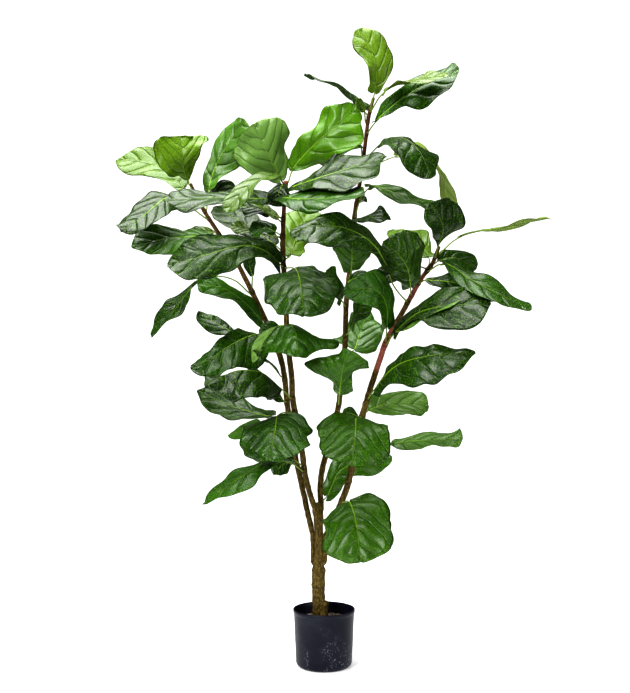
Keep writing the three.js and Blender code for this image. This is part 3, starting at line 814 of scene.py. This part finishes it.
@dataclass
class Leaf:
    """A leaf: a thin veined blade, and a stalk that runs on below it as its rib."""

    name: str
    form: LeafForm
    root: np.ndarray
    young: bool = False
    tone: float = 0.0            # from -1, dark, through 1, light, to 2, pale: partly own colour, partly painted light and shade, above 1 a painted sheen
    lime: float = 0.0            # share of the yellow-green
    nodes: list = field(default_factory=list)
    thickness: float = 0.0008
    quilt: float = 0.0026        # height of the cushions between the side veins
    ripple: float = 0.0026       # height of the small waves along the margin
    sway: float = 0.0105         # height of the long waves along the margin
    crumple: float = 0.0060      # height of the soft folds that wander over the blade
    crease: float = 0.0110       # height of the sharp folds among them
    notch: float = 0.0105        # how far the outline wanders
    scallop: float = 0.0034      # how far it swells between every second pair of side veins
    veins: float = 4.8           # side veins from base to tip
    slant: float = 0.80          # how far a vein runs ahead for each step aside
    bend: float = 0.55           # how far its end bends further ahead
    fan: float = 0.48            # angle between the veins that spread from the base, in radians
    stalk_radius: float = 0.0017

    ROWS = (5, 7, 9, 10, 9, 8, 6, 7)
    TIP_SHARE = 0.04             # how much of the last step stays open, to be closed by a face
    HALF_COLUMNS = 15
    CROWDING = 1.3               # draws the columns in towards the rib
    USUAL_HALF = 0.065           # the half width that the heights are given for
    STALK_LIME = 0.3             # the least share of yellow-green in a stalk
    STALK_ROOT = 0.35            # where it starts, as a share of the way to its CAD end
    STALK_RADII = (1.5, 1.12, 1.0, 0.95)  # at its start and its three CAD rings
    STALK_FACING = (0.31, 0.17, 0.93)
    STALK_SIDES = 8
    FOLD_SIZE = 0.042            # across one soft fold, in metres
    CREASE_SIZE = 0.055          # across one sharp fold
    WANDER_SIZES = (0.038, 0.014)  # along one wander of the outline, large and small
    VEIN_WANDER_SIZE = 0.03      # along one wander of a side vein

    def _middle(self) -> np.ndarray:
        """The blade's middle surface, rows x columns x 3.

        The five lines are splines from base to tip. Across each half the surface is the parabola
        through the rib, the half line and the margin.
        """
        steps = [index + np.arange(count) / count for index, count in enumerate(self.ROWS)]
        places = np.concatenate([*steps, [len(self.ROWS) - self.TIP_SHARE]])
        after = self.form.lines[-2, ::-1].copy()
        after[2] = 2 * self.form.lines[-1, 2] - self.form.lines[-2, 2]
        lines = spline(self.form.lines, places, after)
        even = np.linspace(-1, 1, 2 * self.HALF_COLUMNS + 1)
        self.across = np.sign(even) * np.abs(even) ** self.CROWDING
        out = np.abs(self.across)
        half_way = LeafForm.HALF_WAY
        weights = np.zeros((5, len(out)))
        weights[2] = (out - half_way) * (out - 1) / half_way
        half = out * (1 - out) / (half_way * (1 - half_way))
        margin = out * (out - half_way) / (1 - half_way)
        for line, side in ((0, -1), (4, 1)):
            weights[line] = margin * (self.across * side > 0)
            weights[line - side] = half * (self.across * side > 0)
        return np.einsum("rlx,lc->rcx", lines, weights)

    def _patterns(self, middle: np.ndarray) -> dict:
        """What the veins and waves need at each point of the middle surface.

        With x the way along the rib and y the way aside, a side vein is where the phase is whole:
        (x - slant y - bend y y / W) / spacing, and behind the first vein, veins fan out from the
        base, one for each step of the angle whose tangent is y / x.
        """
        rib = middle[:, self.HALF_COLUMNS]
        ahead = np.concatenate([[0], np.cumsum(np.linalg.norm(np.diff(rib, axis=0), axis=1))])
        length = ahead[-1]
        steps = np.linalg.norm(np.diff(middle, axis=1), axis=2)
        aside = np.concatenate([np.zeros((len(middle), 1)), np.cumsum(steps, axis=1)], axis=1)
        aside = aside - aside[:, self.HALF_COLUMNS, None]
        out = np.abs(aside)
        half = np.where(aside < 0, out[:, :1], out[:, -1:])
        widest = max(half.max(), 0.01)
        lead = self.slant * out + self.bend * out * out / widest
        x = np.broadcast_to(ahead[:, None], out.shape)
        spacing = length / self.veins
        angle = np.arctan2(out, x + 1e-5) - np.arctan2(out, lead + 1e-5)
        phase = np.where(x > lead, (x - lead) / spacing, -angle / self.fan) + 0.35
        phase = phase + 0.3 * np.clip(self.across * 12, 0, 1)
        wander = cloud(middle, self.VEIN_WANDER_SIZE, 3)
        phase = phase + 0.22 * wander * np.clip(np.abs(self.across) * 4, 0, 1)
        return {
            "phase": phase,
            "aside": aside,
            "edge": half - out,
            "along": x / length,
            "across": np.broadcast_to(np.abs(self.across), out.shape),
            "fullness": np.clip(half / (0.3 * widest), 0, 1) * min(widest / self.USUAL_HALF, 1.2),
        }

    def _blade(self, skin: Skin) -> tuple[np.ndarray, np.ndarray]:
        """Adds the blade, and returns its rib line and the direction of its upper side there.

        The upper and under sides stand half the thickness off the middle surface, which is raised
        by cushions, sine (pi phase) between veins, by waves that grow towards the margin, and by
        soft and sharp folds: a sharp fold is the line where its random value changes sign.
        """
        middle = self._middle()
        found = self._patterns(middle)
        seed = seed_of(self.name)
        out = found["across"]
        side = np.sign(self.across)[None, :]
        turn = 2 * math.pi
        cushion = np.abs(np.sin(math.pi * found["phase"])) ** 0.7
        cushion = cushion * np.clip(out * 4, 0, 1) * (1 - out ** 2)
        ripple = out ** 3 * np.sin(turn * (0.45 * found["phase"] + 0.13 * seed))
        long_wave = out ** 2 * np.sin(turn * (1.3 * found["along"] + 0.29 * seed + 0.2 * side))
        folds = out * cloud(middle, self.FOLD_SIZE, seed + 2)
        creases = np.sqrt(out) * (0.3 - np.abs(cloud(middle, self.CREASE_SIZE, seed + 3)))
        lift = (self.quilt * cushion + self.ripple * ripple + self.sway * long_wave
                + self.crumple * folds + self.crease * creases)
        lift = lift * found["fullness"]
        ahead = unit(np.gradient(middle, axis=0))
        aside = unit(np.gradient(middle, axis=1))
        up = unit(np.cross(aside, ahead))
        large, small = self.WANDER_SIZES
        wander = cloud(middle, large, seed) + 0.2 * cloud(middle, small, seed + 1)
        swell = np.abs(np.sin(math.pi / 2 * found["phase"])) - 0.6
        shift = (self.notch * wander * out ** 4 + self.scallop * swell * out ** 6) * side
        shift = shift * found["fullness"]
        middle = middle + up * lift[..., None] + aside * shift[..., None]
        half_thick = self.thickness / 2 * np.sqrt(np.clip(1 - out ** 4, 0, 1))
        top = middle + up * half_thick[..., None]
        under = middle - up * half_thick[..., None]
        rings = np.concatenate([top, under[:, -2:0:-1]], axis=1)
        columns = top.shape[1]
        values = {name: np.concatenate([found[name], found[name][:, -2:0:-1]], axis=1)
                  for name in ("phase", "aside", "edge", "along", "across")}
        finish = (np.arange(rings.shape[1]) >= columns - 1).astype(int)
        skin.add(rings, {**values, "tone": self.tone, "lime": self.lime}, finish)
        return middle[:, self.HALF_COLUMNS], up[:, self.HALF_COLUMNS]

    def _stalk(self, skin: Skin, rib: np.ndarray, up: np.ndarray) -> None:
        """Adds the stalk: a round cord from inside the stem that thins out along the rib."""
        rows = np.arange(4, int(len(rib) * 0.88), 4)
        thin = self.stalk_radius * np.linspace(0.75, 0.22, len(rows))
        below = rib[rows] - up[rows] * (thin * 0.75)[:, None]
        start = self.root + (self.form.stalk[0] - self.root) * self.STALK_ROOT
        centres = np.concatenate([start[None], self.form.stalk, below])
        stalk_radii = np.array(self.STALK_RADII) * self.stalk_radius
        radii = np.concatenate([stalk_radii, thin])
        places = np.linspace(0, len(centres) - 1, 3 * len(centres))
        radii = np.interp(places, np.arange(len(radii)), radii)
        path = spline(centres, places)
        rings, _ = sweep(path, radii, np.array(self.STALK_FACING), self.STALK_SIDES)
        skin.add(rings, {"phase": 0.5, "aside": 0.0015, "edge": 0.02, "tone": self.tone,
                         "lime": max(self.lime, self.STALK_LIME)}, 1)

    def build(self, finishes: list) -> None:
        """Builds the leaf in its two finishes, of the top and of the underside."""
        skin = Skin()
        self._stalk(skin, *self._blade(skin))
        skin.piece(self.name, Slot.YOUNG_LEAF if self.young else Slot.LEAF, self.nodes, finishes)


# ---- Stems ----

@dataclass
class Stem:
    """A stem or the trunk: a rough tube with rings and swellings where its leaves grow."""

    name: str
    line: StemLine
    foot: np.ndarray | None = None
    beside: StemLine | None = None
    roots: list = field(default_factory=list)
    knobs: tuple = ()            # heights of bare knobs, in metres
    blush: tuple = ()            # (low, high) heights between which the bark is pink, in metres
    stubs: tuple = ()            # (foot, top, radius) of cut shoots against the stem, in metres
    sides: int = 20
    coarse: float = 0.0011       # height of the bark's lumps at the foot of the plant
    fine: float = 0.0005         # height of its fibres there
    scar_height: float = 0.0019  # how far a leaf scar stands out
    scar_length: float = 0.0045  # along the stem
    smooth_above: float = 0.95   # the height from which the bark is smoothest
    twig_above: float = 0.80     # the height from which it turns reddish brown
    dome: float = 0.2            # how far its end bulges past half its radius
    hug_reach: float = 0.020     # a gap up to this wide beside the trunk is closed
    hug_depth: float = 0.0018    # how far the stem then sinks into the trunk
    hug_fade: float = 0.060      # it fades out over this height below the trunk's top

    LUMP_SIZE = 0.009            # across one lump, in metres
    STUB_LUMP_SIZE = 0.007
    FIBRE_SIZE = 0.0026          # across one fibre
    SCAR_LINE = 0.0016           # half the width of the dark line round a scar
    KNOB_LINE = 0.0020           # half the width of the dark line under a knob
    START = (0.0, -1.0, 0.1)     # towards the first point of each circle
    END_RISES = (0.55, 0.85, 1.0)  # the rounded end's rings: how far on, as shares of the bulge
    END_RADII = (0.86, 0.55, 0.12)

    def _hug(self, centres: np.ndarray, radii: np.ndarray) -> np.ndarray:
        """Draws the path in where it runs close beside the trunk, so that the two look grown
        together: each point moves by (gap + depth), less and less as the gap nears the reach
        and as the point nears the trunk's top."""
        trunk, trunk_radii = self.beside.fine()
        near = np.argmin(np.abs(centres[:, None, 2] - trunk[None, :, 2]), axis=1)
        off = (centres - trunk[near]) * np.array([1.0, 1.0, 0.0])
        far = np.linalg.norm(off, axis=1)
        gap = far - radii - trunk_radii[near]
        below = (trunk[-1, 2] - centres[:, 2]) / self.hug_fade
        share = np.clip(1 - gap / self.hug_reach, 0, 1) * np.clip(below, 0, 1)
        pull = np.clip(gap + self.hug_depth, 0, None) * share * share * (3 - 2 * share)
        return centres - off / np.maximum(far, 1e-6)[:, None] * pull[:, None]

    def _swell(self, centres: np.ndarray, out: np.ndarray) -> tuple[np.ndarray, np.ndarray]:
        """How far the leaf scars stand out, and how dark they are.

        A scar adds exp(-(d / length) ** 2), d being the way along the stem, whole on the leaf's
        side and about a third of it on the far side. A knob stands out as much on every side.
        """
        swell = np.zeros(out.shape[:2])
        shade = np.zeros(out.shape[:2])
        for root, way in self.roots:
            away = np.linalg.norm(centres - root, axis=1)[:, None]
            side = 0.35 + 0.65 * np.clip(out @ way, 0, 1)
            swell += np.exp(-(away / self.scar_length) ** 2) * side
            shade += np.exp(-((away - self.scar_length) / self.SCAR_LINE) ** 2)
        for height in self.knobs:
            away = (centres[:, 2] - height)[:, None]
            swell += 0.9 * np.exp(-(away / self.scar_length) ** 2)
            shade += np.exp(-((away + self.scar_length) / self.KNOB_LINE) ** 2)
        return swell * self.scar_height, np.clip(shade, 0, 1)

    def _stub(self, skin: Skin, foot: np.ndarray, top: np.ndarray, radius: float) -> None:
        """Adds a cut shoot: a rough tube from its foot to its top, with a rounded end."""
        share = np.array([0, 0.15, 0.3, 0.45, 0.6, 0.75, 0.9, 0.97, 1.0])
        size = radius * np.array([1, 1.04, 1, 0.97, 1, 1.03, 1.02, 0.8, 0.3])
        centres = foot + (top - foot) * share[:, None]
        rings, out = sweep(centres, size, np.array(self.START), self.sides)
        lumps = self.coarse * cloud(rings, self.STUB_LUMP_SIZE, 11)
        rings = rings + out * lumps[..., None]
        skin.add(rings, {"scar": (share > 0.95)[:, None] * 0.6})

    def build(self, material: bpy.types.Material) -> None:
        """Builds the stem: circles along its path, raised by lumps, fibres and scars."""
        centres, radii = self.line.fine(self.foot, float(self.line.radii[0]) * 0.8)
        if self.beside is not None:
            centres = self._hug(centres, radii)
        tip_way = unit(centres[-1] - centres[-2])
        rise = radii[-1] * (0.5 + self.dome) * np.array(self.END_RISES)
        centres = np.concatenate([centres, centres[-1] + tip_way * rise[:, None]])
        radii = np.concatenate([radii, radii[-1] * np.array(self.END_RADII)])
        rings, out = sweep(centres, radii, np.array(self.START), self.sides)
        height = centres[:, 2][:, None]
        rough = np.clip(1.25 - height / self.smooth_above, 0.25, 1.0)
        seed = seed_of(self.name)
        squeezed = rings * np.array([1.0, 1.0, 0.3])
        bumps = (self.coarse * cloud(rings, self.LUMP_SIZE, seed)
                 + self.fine * cloud(squeezed, self.FIBRE_SIZE, seed))
        swell, shade = self._swell(centres, out)
        rings = rings + out * (bumps * rough + swell)[..., None]
        pink = sum(np.clip(np.minimum(height - low, high - height) / 0.012, 0, 1)
                   for low, high in self.blush)
        skin = Skin()
        for stub in self.stubs:
            self._stub(skin, *map(np.array, stub))
        twig = np.clip((height - self.twig_above) / 0.4, 0, 1)
        skin.add(rings, {"scar": shade, "blush": pink, "twig": twig})
        skin.piece(self.name + "_look", Slot.BARK, [self.name], [material])


# ---- Pot and filling ----

def turned(profile: list, sides: int) -> np.ndarray:
    """Circles of a profile of (radius, height) turned about the upright axis.

    Point k of a circle is (r cos a, r sin a, z), a = 2 pi k / n, so a profile that runs up the
    outside, or in along the top, faces outwards with the circles in that order.

    Args:
        profile: (radius, height) in metres, in order.
        sides: the number of points in a circle.

    Returns:
        The circles' points, profile x sides x 3.
    """
    shape = np.array(profile)
    angle = 2 * math.pi * np.arange(sides) / sides
    radius, height = shape[:, 0, None], shape[:, 1, None]
    return np.stack([
        radius * np.cos(angle), radius * np.sin(angle), np.broadcast_to(height, (len(shape), sides)),
    ], axis=-1)


@dataclass
class Pot:
    """The nursery pot: a thin tapered shell with a turned-out lip and a round bottom edge."""

    width: float
    height: float
    wall: float = 0.0018
    lip_height: float = 0.0075
    base_share: float = 0.908    # the foot's radius as a share of the lip's
    mouth_share: float = 0.979   # the wall's radius under the lip, as a share of the lip's
    corner: float = 0.013
    sides: int = 128

    def __post_init__(self) -> None:
        """Works out the radii from the width."""
        self.lip = self.width / 2
        self.base = self.lip * self.base_share
        self.mouth = self.lip * self.mouth_share

    def radius(self, height: float) -> float:
        """The outside radius at a height: it grows evenly from the bottom edge to the mouth."""
        share = (height - self.corner) / (self.height - self.lip_height - self.corner)
        return self.base + (self.mouth - self.base) * share

    def _bend(self, centre: float, middle: float, radius: float, start: float, end: float,
              count: int) -> list:
        """Points on an arc between two angles in degrees."""
        angles = np.radians(np.linspace(start, end, count))
        return [(centre + radius * math.cos(a), middle + radius * math.sin(a)) for a in angles]

    def build(self, material: bpy.types.Material) -> None:
        """Builds the shell: its profile from the middle of the base, up, over and back inside."""
        foot = self.base - self.corner
        under_lip = self.height - self.lip_height
        low = np.linspace(self.corner, under_lip - 0.0025, 14)[1:]
        inner = self.corner - self.wall
        profile = [
            (0.0002, 0.0022), (foot * 0.84, 0.0022), (foot * 0.88, 0.0004), (foot * 0.95, 0.0),
            *self._bend(foot, self.corner, self.corner, -90, 0, 9),
            *[(self.radius(z), z) for z in low],
            (self.radius(under_lip) + 0.0003, under_lip - 0.0010),
            (self.lip - 0.0005, under_lip - 0.0002), (self.lip, under_lip + 0.0006),
            (self.lip, self.height - 0.0014), (self.lip - 0.0004, self.height - 0.0004),
            (self.lip - 0.0012, self.height), (self.mouth - self.wall + 0.0008, self.height),
            (self.mouth - self.wall, self.height - 0.0008),
            *[(self.radius(z) - self.wall, z) for z in low[::-1]],
            *self._bend(foot, self.corner, inner, 0, -90, 7),
            (foot * 0.5, self.wall), (0.0002, self.wall + 0.0008),
        ]
        rings = turned(profile, self.sides)
        low_share = np.clip(1.15 - rings[..., 2] / (self.height * 0.75), 0, 1)
        skin = Skin()
        skin.add(rings, {"low": low_share})
        skin.piece("pot_look", Slot.POT, ["pot"], [material])


@dataclass
class Gravel:
    """The pot's filling: an uneven bed with loose chips of stone lying on it."""

    pot: Pot
    top: float
    bottom: float
    gap: float = 0.0003
    chips: int = 620
    chip_size: float = 0.0042
    mound: float = 0.003
    sides: int = 96

    SUNK = 0.0045                # how far the bed lies below its CAD top, to leave room for chips
    HOLLOW = 0.0012              # depth of the small hollows
    HOLLOW_SIZE = 0.011
    SHAPE = (1.0, 0.75, 0.55)    # a chip's sides as shares of its size

    def _height(self, places: np.ndarray) -> np.ndarray:
        """The bed's height: its top falls by the mound towards the wall, with small hollows."""
        out = np.linalg.norm(places[..., :2], axis=-1) / self.edge
        hollows = self.HOLLOW * cloud(places, self.HOLLOW_SIZE, 5)
        return self.top - self.SUNK - self.mound * out ** 2 + hollows

    def build(self, material: bpy.types.Material) -> None:
        """Builds the bed and its chips, which are scattered from one seed."""
        self.edge = self.pot.radius(self.top) - self.pot.wall - self.gap
        floor = self.pot.base - self.pot.corner
        shares = np.linspace(1.0, 0.004, 26)
        profile = [(0.0002, self.bottom), (floor, self.bottom),
                   (self.pot.radius(self.bottom + 0.02) - 0.004, self.bottom + 0.02),
                   *[(self.edge * share, self.top) for share in shares]]
        rings = turned(profile, self.sides)
        rings[3:, :, 2] = self._height(rings[3:])
        skin = Skin()
        skin.add(rings, {"tone": 0.5 + 0.5 * cloud(rings, 0.004, 9)})
        random = np.random.default_rng(7)
        for _ in range(self.chips):
            self._chip(skin, random)
        skin.piece("filling_look", Slot.FILLING, ["filling"], [material])

    def _chip(self, skin: Skin, random: np.random.Generator) -> None:
        """Adds one chip: four six-sided rings of an ellipsoid, turned and knocked about."""
        out = math.sqrt(random.uniform(0.05, 0.93)) * self.edge
        turn = random.uniform(0, 2 * math.pi)
        place = np.array([out * math.cos(turn), out * math.sin(turn), 0.0])
        place[2] = self._height(place[None])[0]
        profile = [(math.sin(a), math.cos(a)) for a in np.radians((170, 125, 60, 8))]
        rings = turned(profile, 6) * (1 + 0.18 * random.standard_normal((4, 6, 1)))
        size = self.chip_size * random.uniform(0.35, 1.0) * np.array(self.SHAPE) / 2
        axis = Vector(random.standard_normal(3)).normalized()
        tilt = np.array(Vector((0, 0, 1)).rotation_difference(axis).to_matrix())
        skin.add((rings * size * 1.3) @ tilt.T + place, {"tone": random.uniform(0, 1)})


# ---- Studio ----

@dataclass
class Studio:
    """A pale floor, soft light from above and in front, and the camera."""

    eye: tuple = (-0.0212, -2.55, 0.7507)
    lens: float = 56.3
    floor_radius: float = 1.5
    floor_glow: float = 0.30
    room_light: float = 0.14

    AIM = (0.0, 0.0, 0.85)
    WHITE = (1.0, 1.0, 1.0, 1.0)

    def _lamp(self, name: str, place: tuple, size: float, power: float) -> None:
        """Adds a square soft light that looks at the middle of the plant."""
        light = bpy.data.lights.new(name, "AREA")
        light.shape = "SQUARE"
        light.size = size
        light.energy = power
        lamp = placed(name, light)
        lamp.location = place
        way = Vector(self.AIM) - Vector(place)
        lamp.rotation_euler = way.to_track_quat("-Z", "Y").to_euler()

    def _floor(self) -> None:
        """Adds the floor: a round sheet of matt, nearly white paper."""
        graph = Graph("floor_paper")
        shade = graph.noise(graph.place(), 3.0, 2.0)
        paper = graph.blend(colour(248, 248, 248), colour(253, 253, 253), shade)
        rings = turned([(self.floor_radius * share, 0.0) for share in (1.0, 0.5, 0.01)], 96)
        mesh = bpy.data.meshes.new("floor")
        number = np.arange(rings[..., 0].size).reshape(rings.shape[:2])
        faces = walls(number) + [number[-1].tolist()]
        mesh.from_pydata(rings.reshape(-1, 3).tolist(), [], faces)
        mesh.materials.append(graph.finish(graph.node("BsdfPrincipled", None, {
            "Base Color": paper, "Roughness": 0.9,
            "Emission Color": self.WHITE, "Emission Strength": self.floor_glow,
        })))
        placed("floor", mesh)

    def _surroundings(self) -> None:
        """Adds the pale room: white to look at, and dimmer as a light."""
        world = bpy.data.worlds.new("pale_room")
        world.use_nodes = True
        nodes, links = world.node_tree.nodes, world.node_tree.links
        background = nodes["Background"]
        background.inputs["Color"].default_value = self.WHITE
        rays = nodes.new("ShaderNodeLightPath")
        strength = nodes.new("ShaderNodeMapRange")
        strength.inputs["To Min"].default_value = self.room_light
        strength.inputs["To Max"].default_value = 1.0
        links.new(rays.outputs["Is Camera Ray"], strength.inputs["Value"])
        links.new(strength.outputs["Result"], background.inputs["Strength"])
        bpy.context.scene.world = world

    def build(self) -> None:
        """Adds the floor, the lights, the pale surroundings and the camera."""
        self._floor()
        self._lamp("overhead_softbox", (-0.35, 0.0, 3.1), 2.2, 120.0)
        self._lamp("front_left_softbox", (-2.0, -3.2, 2.4), 1.4, 120.0)
        self._lamp("front_right_fill", (2.8, -2.2, 1.2), 1.6, 26.0)
        self._surroundings()
        settings = bpy.context.scene.view_settings
        settings.view_transform = "Standard"
        settings.look = "High Contrast"
        camera = bpy.data.cameras.new("camera")
        camera.sensor_width = 36.0
        camera.lens = self.lens
        camera.clip_end = 100.0
        view = placed("camera", camera)
        view.location = self.eye
        view.rotation_euler = (math.pi / 2, 0.0, 0.0)
        bpy.context.scene.camera = view


# ---- The plant ----

STEM_NAMES = ("stem_far_left", "stem_left", "stem_centre", "stem_right")
FOOT_DROP = 0.017                # how far below its first ring a stem starts inside the trunk
TRUNK_DOME = 0.9                 # the trunk's end bulges more between the stems than theirs do

# What the fields of the same names in Stem say, for the stems that have any.
KNOBS = {"trunk": (0.130, 0.190, 0.226), "stem_right": (0.438, 0.462)}
BLUSH = {"stem_right": ((0.690, 0.800), (0.855, 0.920)), "stem_left": ((1.10, 1.16),)}
STUBS = {"trunk": (((-0.003, -0.009, 0.098), (0.000, -0.008, 0.156), 0.0105),)}

# Tones and shares of yellow-green by leaf number. A tone goes from -1, dark, to 2, pale, and the
# leaves that aren't here are in between. The tones are partly each leaf's own colour and partly
# painted light and shade: dark for leaves that lie in shade, light for leaves that catch the light,
# and above 1 a painted pale sheen.
TONES_WITH_PAINTED_LIGHT = {
    "far_left": {
        1: (1.2, 0.1), 2: (-0.4, 0.05), 5: (0.9, 0.05), 7: (0.4, 0.15), 8: (-0.9, 0.0),
        9: (1.35, 0.05), 10: (-0.5, 0.4), 11: (0.0, 0.95),
    },
    "left": {
        1: (0.7, 0.05), 3: (-0.9, 0.0), 4: (0.9, 0.05), 5: (-0.2, 0.0), 6: (-0.4, 0.0),
        7: (-1.0, 0.8), 8: (-0.9, 0.0), 9: (-0.6, 0.0), 10: (0.2, 0.0), 11: (-0.9, 0.0),
        12: (-0.6, 0.0), 13: (1.75, 0.0), 14: (0.8, 0.75),
    },
    "centre": {
        1: (0.8, 0.25), 2: (0.7, 0.15), 3: (1.3, 0.0), 4: (1.2, 0.1), 5: (0.4, 0.15),
        6: (0.5, 0.25), 7: (-0.9, 0.0), 8: (0.6, 0.35), 9: (1.6, 0.0), 10: (-0.3, 0.0),
        12: (0.3, 0.0), 13: (-0.6, 0.0), 14: (0.1, 0.0), 15: (0.7, 0.55),
    },
    "right": {
        1: (0.4, 0.2), 2: (1.45, 0.0), 3: (0.2, 0.15), 4: (1.6, 0.2), 6: (-0.5, 0.0),
        7: (0.7, 0.0), 8: (-0.6, 0.0), 9: (-0.3, 0.1), 11: (-0.2, 0.7), 12: (-0.4, 0.0),
        13: (0.9, 0.1),
    },
}

# Small leaves that show between the large ones. Their tones, like the large leaves', are partly
# their own colour and partly painted light and shade, and above 1 a painted pale sheen.
SPRIGS = (
    Sprig("stem_far_left", 615, ((-8, -20, 6), (-28, -40, 22), (-52, -50, 40)), 36),
    Sprig("stem_far_left", 672, ((-8, -6, 6), (-30, -30, 34), (-52, -50, 52)), 28,
          (0.6, -0.2, 0.75)),
    Sprig("stem_far_left", 885, ((2, -10, 36), (-4, -20, 60), (-6, -30, 88)), 32, (0.2, -1.0, 0.1)),
    Sprig("stem_far_left", 1025, ((-12, 10, 4), (-40, 20, 8), (-72, 20, 10)), 34, young=True),
    Sprig("stem_far_left", 1105, ((20, 30, 8), (58, 40, 26), (100, 50, 14)), 66, tone=-1.0),
    Sprig("stem_left", 468, ((-22, -20, 20), (-45, -30, 12), (-70, -40, -12)), 46),
    Sprig("stem_left", 770, ((-8, 4, 6), (-34, 4, 16), (-66, 0, 14)), 44),
    Sprig("stem_left", 790, ((-6, -45, 8), (-40, -78, -8), (-73, -85, -76)), 40,
          (-0.5, -0.6, 0.6), tone=2.0),
    Sprig("stem_left", 1000, ((-60, 50, 15), (-90, 60, 25), (-126, 60, 34)), 40, young=True),
    Sprig("stem_left", 1005, ((-18, 30, 12), (-42, 40, 22), (-78, 50, 12)), 50, tone=1.0),
    Sprig("stem_left", 1030, ((-12, 20, 12), (-46, 35, 40), (-86, 45, 74)), 34,
          (0.3, -0.7, 0.6), young=True),
    Sprig("stem_left", 1045, ((-30, 30, 12), (-62, 50, 28), (-100, 60, 36)), 62, tone=-1.0),
    Sprig("stem_left", 1120, ((-6, -30, -2), (-14, -50, -26), (-10, -55, -56)), 56,
          (0.0, -1.0, 0.2), tone=-1.0),
    Sprig("stem_centre", 895, ((0, -20, 8), (22, -30, 18), (50, -35, 12)), 44),
    Sprig("stem_centre", 1095, ((8, 20, 6), (16, 30, 14), (24, 30, 22)), 26),
    Sprig("stem_centre", 1300, ((-10, -10, 10), (-20, -15, 25), (-30, -20, 36)), 30, young=True),
    Sprig("stem_right", 582, ((-8, 5, 4), (-22, 0, 12), (-44, -10, 16)), 32),
    Sprig("stem_right", 775, ((20, -78, 12), (85, -120, 50), (150, -130, 82)), 36,
          (-0.3, -0.5, 0.8), tone=1.6),
    Sprig("stem_right", 895, ((12, -30, 6), (85, -55, -4), (168, -62, -44)), 74, tone=-0.4),
    Sprig("stem_right", 930, ((-30, 10, 12), (-70, 30, 0), (-122, 40, -28)), 56, tone=-1.0),
    Sprig("stem_right", 935, ((20, 20, 15), (62, 40, 24), (114, 50, -2)), 64),
)


class Plant:
    """The trunk, its four stems and all their leaves."""

    def __init__(self) -> None:
        """Reads the paths of the trunk and the stems."""
        names = ("trunk", *STEM_NAMES)
        self.lines = {name: StemLine.of(name) for name in names}
        self.roots = {name: [] for name in names}

    def _nearest(self, place: np.ndarray) -> tuple[str, np.ndarray]:
        """The stem nearest to a place and the point of its middle line there."""
        best = None
        for name in STEM_NAMES:
            centres, _ = self.lines[name].fine()
            away = np.linalg.norm(centres - place, axis=1)
            if best is None or away.min() < best[0]:
                best = (away.min(), name, centres[np.argmin(away)])
        return best[1], best[2]

    def _grow(self, stem: str, leaf: Leaf, finishes: list) -> None:
        """Builds a leaf, and keeps where it grows for the scar on its stem."""
        self.roots[stem].append((leaf.root, unit(leaf.form.stalk[0] - leaf.root)))
        leaf.build(finishes)

    def leaves(self) -> None:
        """Builds a leaf over each leaf node, and the small leaves between them."""
        mature = [LEAF_TOP.material(), LEAF_UNDER.material()]
        young = [YOUNG_TOP.material(), YOUNG_UNDER.material()]
        for name, node in sorted(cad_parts.items()):
            if not name.startswith("leaf_"):
                continue
            form = LeafForm.of(name)
            stem, root = self._nearest(form.stalk[0])
            is_young = node.material_slots[0].material.name.startswith(Slot.YOUNG_LEAF.value)
            group, number = name.removeprefix("leaf_").rsplit("_", 1)
            usual = (0.5 * (zlib.crc32(name.encode()) % 1000 / 1000) - 0.25, 0.0)
            tone, lime = TONES_WITH_PAINTED_LIGHT[group].get(int(number), usual)
            leaf = Leaf(name + "_look", form, root, is_young, tone, lime, [name])
            self._grow(stem, leaf, young if is_young else mature)
        for number, sprig in enumerate(SPRIGS, 1):
            centres, _ = self.lines[sprig.stem].fine()
            root = centres[np.argmin(np.abs(centres[:, 2] - sprig.height / MM))]
            form = LeafForm.grown(root, sprig)
            leaf = Leaf(f"small_leaf_{number:02d}", form, root, sprig.young, sprig.tone)
            self._grow(sprig.stem, leaf, young if sprig.young else mature)

    def stems(self) -> None:
        """Builds the trunk and the stems, whose feet run into the trunk."""
        bark = BARK.material()
        trunk, _ = self.lines["trunk"].fine()
        for name, line in self.lines.items():
            foot = None
            if name != "trunk":
                height = line.centres[0, 2] - FOOT_DROP
                inside = trunk[np.argmin(np.abs(trunk[:, 2] - height))]
                foot = inside + (line.centres[0] - inside) * np.array([0.5, 0.5, 0.0])
            is_trunk = name == "trunk"
            stem = Stem(name, line, foot, None if is_trunk else self.lines["trunk"],
                        self.roots[name], KNOBS.get(name, ()), BLUSH.get(name, ()),
                        STUBS.get(name, ()))
            if is_trunk:
                stem.dome = TRUNK_DOME
            stem.build(bark)


def main() -> None:
    """Builds the plant, the pot and the studio, in that order."""
    logging.basicConfig(level=logging.INFO, format="%(name)s: %(message)s")
    plant = Plant()
    plant.leaves()
    plant.stems()
    low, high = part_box("pot")
    pot = Pot(width=high.x - low.x, height=high.z)
    pot.build(POT_SHELL.material())
    low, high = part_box("filling")
    Gravel(pot, top=high.z, bottom=low.z).build(GRAVEL.material())
    Studio().build()


if __name__ == "__main__":
    main()
